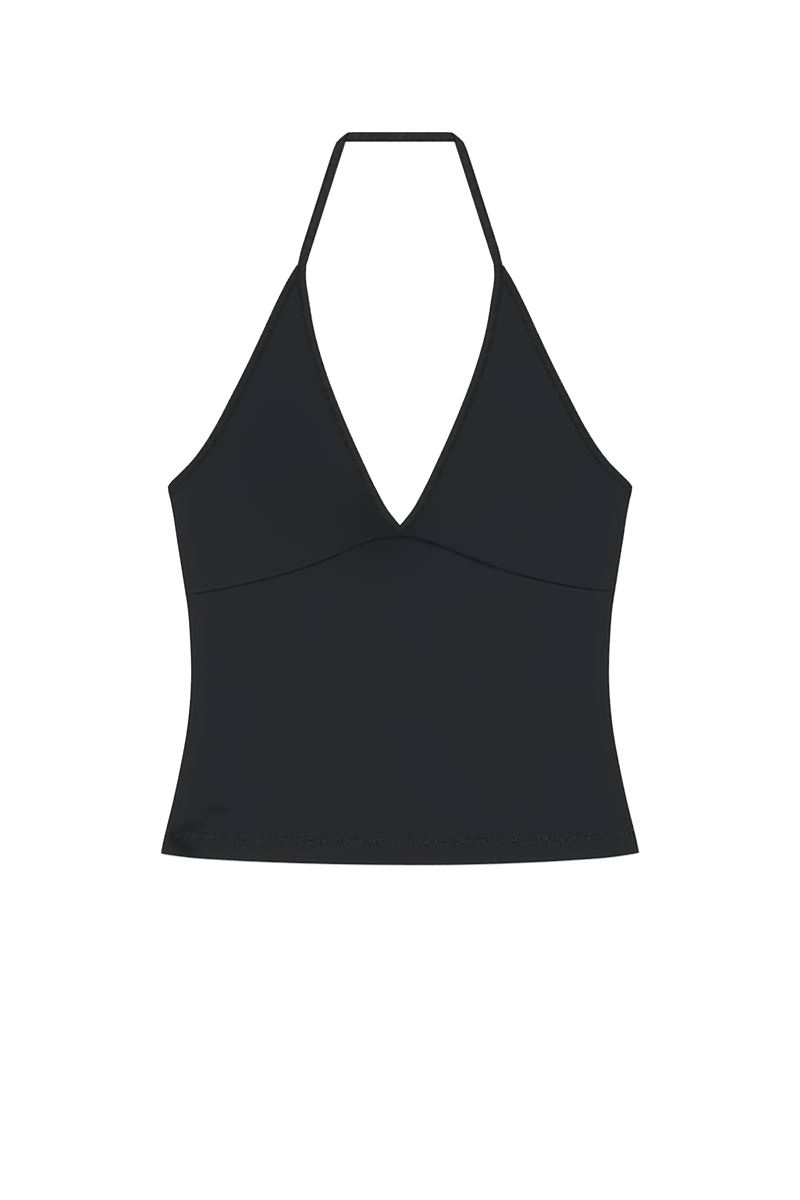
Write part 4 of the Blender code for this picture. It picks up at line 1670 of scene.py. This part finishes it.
class HALTER_OT_armhole_strips(bpy.types.Operator):
    """Fold and sew the strip up both armholes and across the top of the back"""

    bl_idname = "halter.armhole_strips"
    bl_label = "Armhole and back strips"

    def execute(self, context):
        made = []
        for side, hand, seed in (("left", -1, 41), ("right", 1, 51)):
            node, under = f"armhole_binding_{side}", f"cup_cloth_{side}"
            made.append((f"armhole_strip_{side}", node, armhole_strip_shape(hand), under, seed))
        made.append(("back_strip", "back_binding", back_strip_shape(), "back", 61))
        for name, node, (shape, lines), under, seed in made:
            piece = finished_object(name, shape, binding_material())
            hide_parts(node)
            threads = joined(strip_threads(lines, seed))
            sewing = finished_object(f"{name}_stitches", threads, sewing_material())
        return {"FINISHED"}


def floor_material(color):
    material = bpy.data.materials.new("floor")
    surface_of(material, FLOOR_SURFACE, color)
    return material


def area_light(name, place, target, size, power):
    light = bpy.data.lights.new(name, "AREA")
    light.shape = "DISK"
    light.size = size
    light.energy = power
    holder = bpy.data.objects.new(name, light)
    holder.location = place
    holder.rotation_euler = (Vector(target) - Vector(place)).to_track_quat("-Z", "Y").to_euler()
    bpy.context.scene.collection.objects.link(holder)


def studio_world(fill):
    """Even light from all round, with a plain pale backdrop behind the floor."""
    world = bpy.data.worlds.new("studio")
    world.use_nodes = True
    tree = world.node_tree
    light = tree.nodes["Background"]
    light.inputs["Color"].default_value = (1.0, 1.0, 1.0, 1.0)
    light.inputs["Strength"].default_value = fill
    backdrop = add_node(tree, "ShaderNodeBackground", {"Color": (1.0, 1.0, 1.0, 1.0), "Strength": 1.0})
    seen = add_node(tree, "ShaderNodeLightPath").outputs["Is Camera Ray"]
    both = add_node(
        tree, "ShaderNodeMixShader", {0: seen, 1: light.outputs["Background"], 2: backdrop.outputs["Background"]}
    )
    tree.links.new(both.outputs["Shader"], tree.nodes["World Output"].inputs["Surface"])
    return world


class HALTER_OT_stage(bpy.types.Operator):
    """Set up the floor, the backdrop, the lights and the camera above"""

    bl_idname = "halter.stage"
    bl_label = "Stage"

    def execute(self, context):
        look = context.scene.halter_stage
        shape = bmesh.new()
        bmesh.ops.create_circle(shape, cap_ends=True, segments=64, radius=FLOOR_RADIUS)
        bmesh.ops.translate(shape, verts=shape.verts, vec=(0, 0, -FLOOR_SINK))
        mesh = bpy.data.meshes.new("floor")
        shape.to_mesh(mesh)
        shape.free()
        mesh.materials.append(floor_material(tuple(look.floor)))
        floor = bpy.data.objects.new("floor", mesh)
        context.scene.collection.objects.link(floor)
        floor.visible_diffuse = False
        floor.visible_glossy = False

        centre = (0.0, look.picture_centre, 0.0)
        for name, power, place, width in LIGHTS:
            area_light(name, place, centre, width, getattr(look, power))

        context.scene.world = studio_world(look.fill)

        camera = bpy.data.cameras.new("camera")
        camera.lens = look.lens
        holder = bpy.data.objects.new("camera", camera)
        distance = look.picture_height * look.lens / camera.sensor_width
        holder.location = (0.0, look.picture_centre, distance)
        context.scene.collection.objects.link(holder)
        context.scene.camera = holder
        context.scene.view_settings.view_transform = "Standard"
        return {"FINISHED"}


class HALTER_PT_panel(bpy.types.Panel):
    """Builds the halter neck top piece by piece"""

    bl_label = "Halter Neck Top"
    bl_idname = "HALTER_PT_panel"
    bl_space_type = "VIEW_3D"
    bl_region_type = "UI"
    bl_category = "Halter Top"

    def draw(self, context):
        for name in ("halter_cloth", "halter_strips", "halter_finish", "halter_stage"):
            group = getattr(context.scene, name)
            box = self.layout.box()
            for prop in group.bl_rna.properties:
                if prop.identifier not in ("rna_type", "name"):
                    box.prop(group, prop.identifier)
        for operator in OPERATORS:
            self.layout.operator(operator.bl_idname)


GROUPS = {
    "halter_cloth": HalterClothSizes,
    "halter_strips": HalterStripSizes,
    "halter_finish": HalterFinish,
    "halter_stage": HalterStage,
}
OPERATORS = (
    HALTER_OT_back,
    HALTER_OT_lower_front,
    HALTER_OT_cups,
    HALTER_OT_neck_strip,
    HALTER_OT_armhole_strips,
    HALTER_OT_stage,
)


def register():
    for made in (*GROUPS.values(), *OPERATORS, HALTER_PT_panel):
        bpy.utils.register_class(made)
    for name, group in GROUPS.items():
        setattr(bpy.types.Scene, name, PointerProperty(type=group))


def unregister():
    for name in GROUPS:
        delattr(bpy.types.Scene, name)
    for made in reversed((*GROUPS.values(), *OPERATORS, HALTER_PT_panel)):
        bpy.utils.unregister_class(made)


def main():
    register()
    bpy.ops.halter.back()
    bpy.ops.halter.lower_front()
    bpy.ops.halter.cups()
    bpy.ops.halter.neck_strip()
    bpy.ops.halter.armhole_strips()
    bpy.ops.halter.stage()


if __name__ == "__main__":
    main()
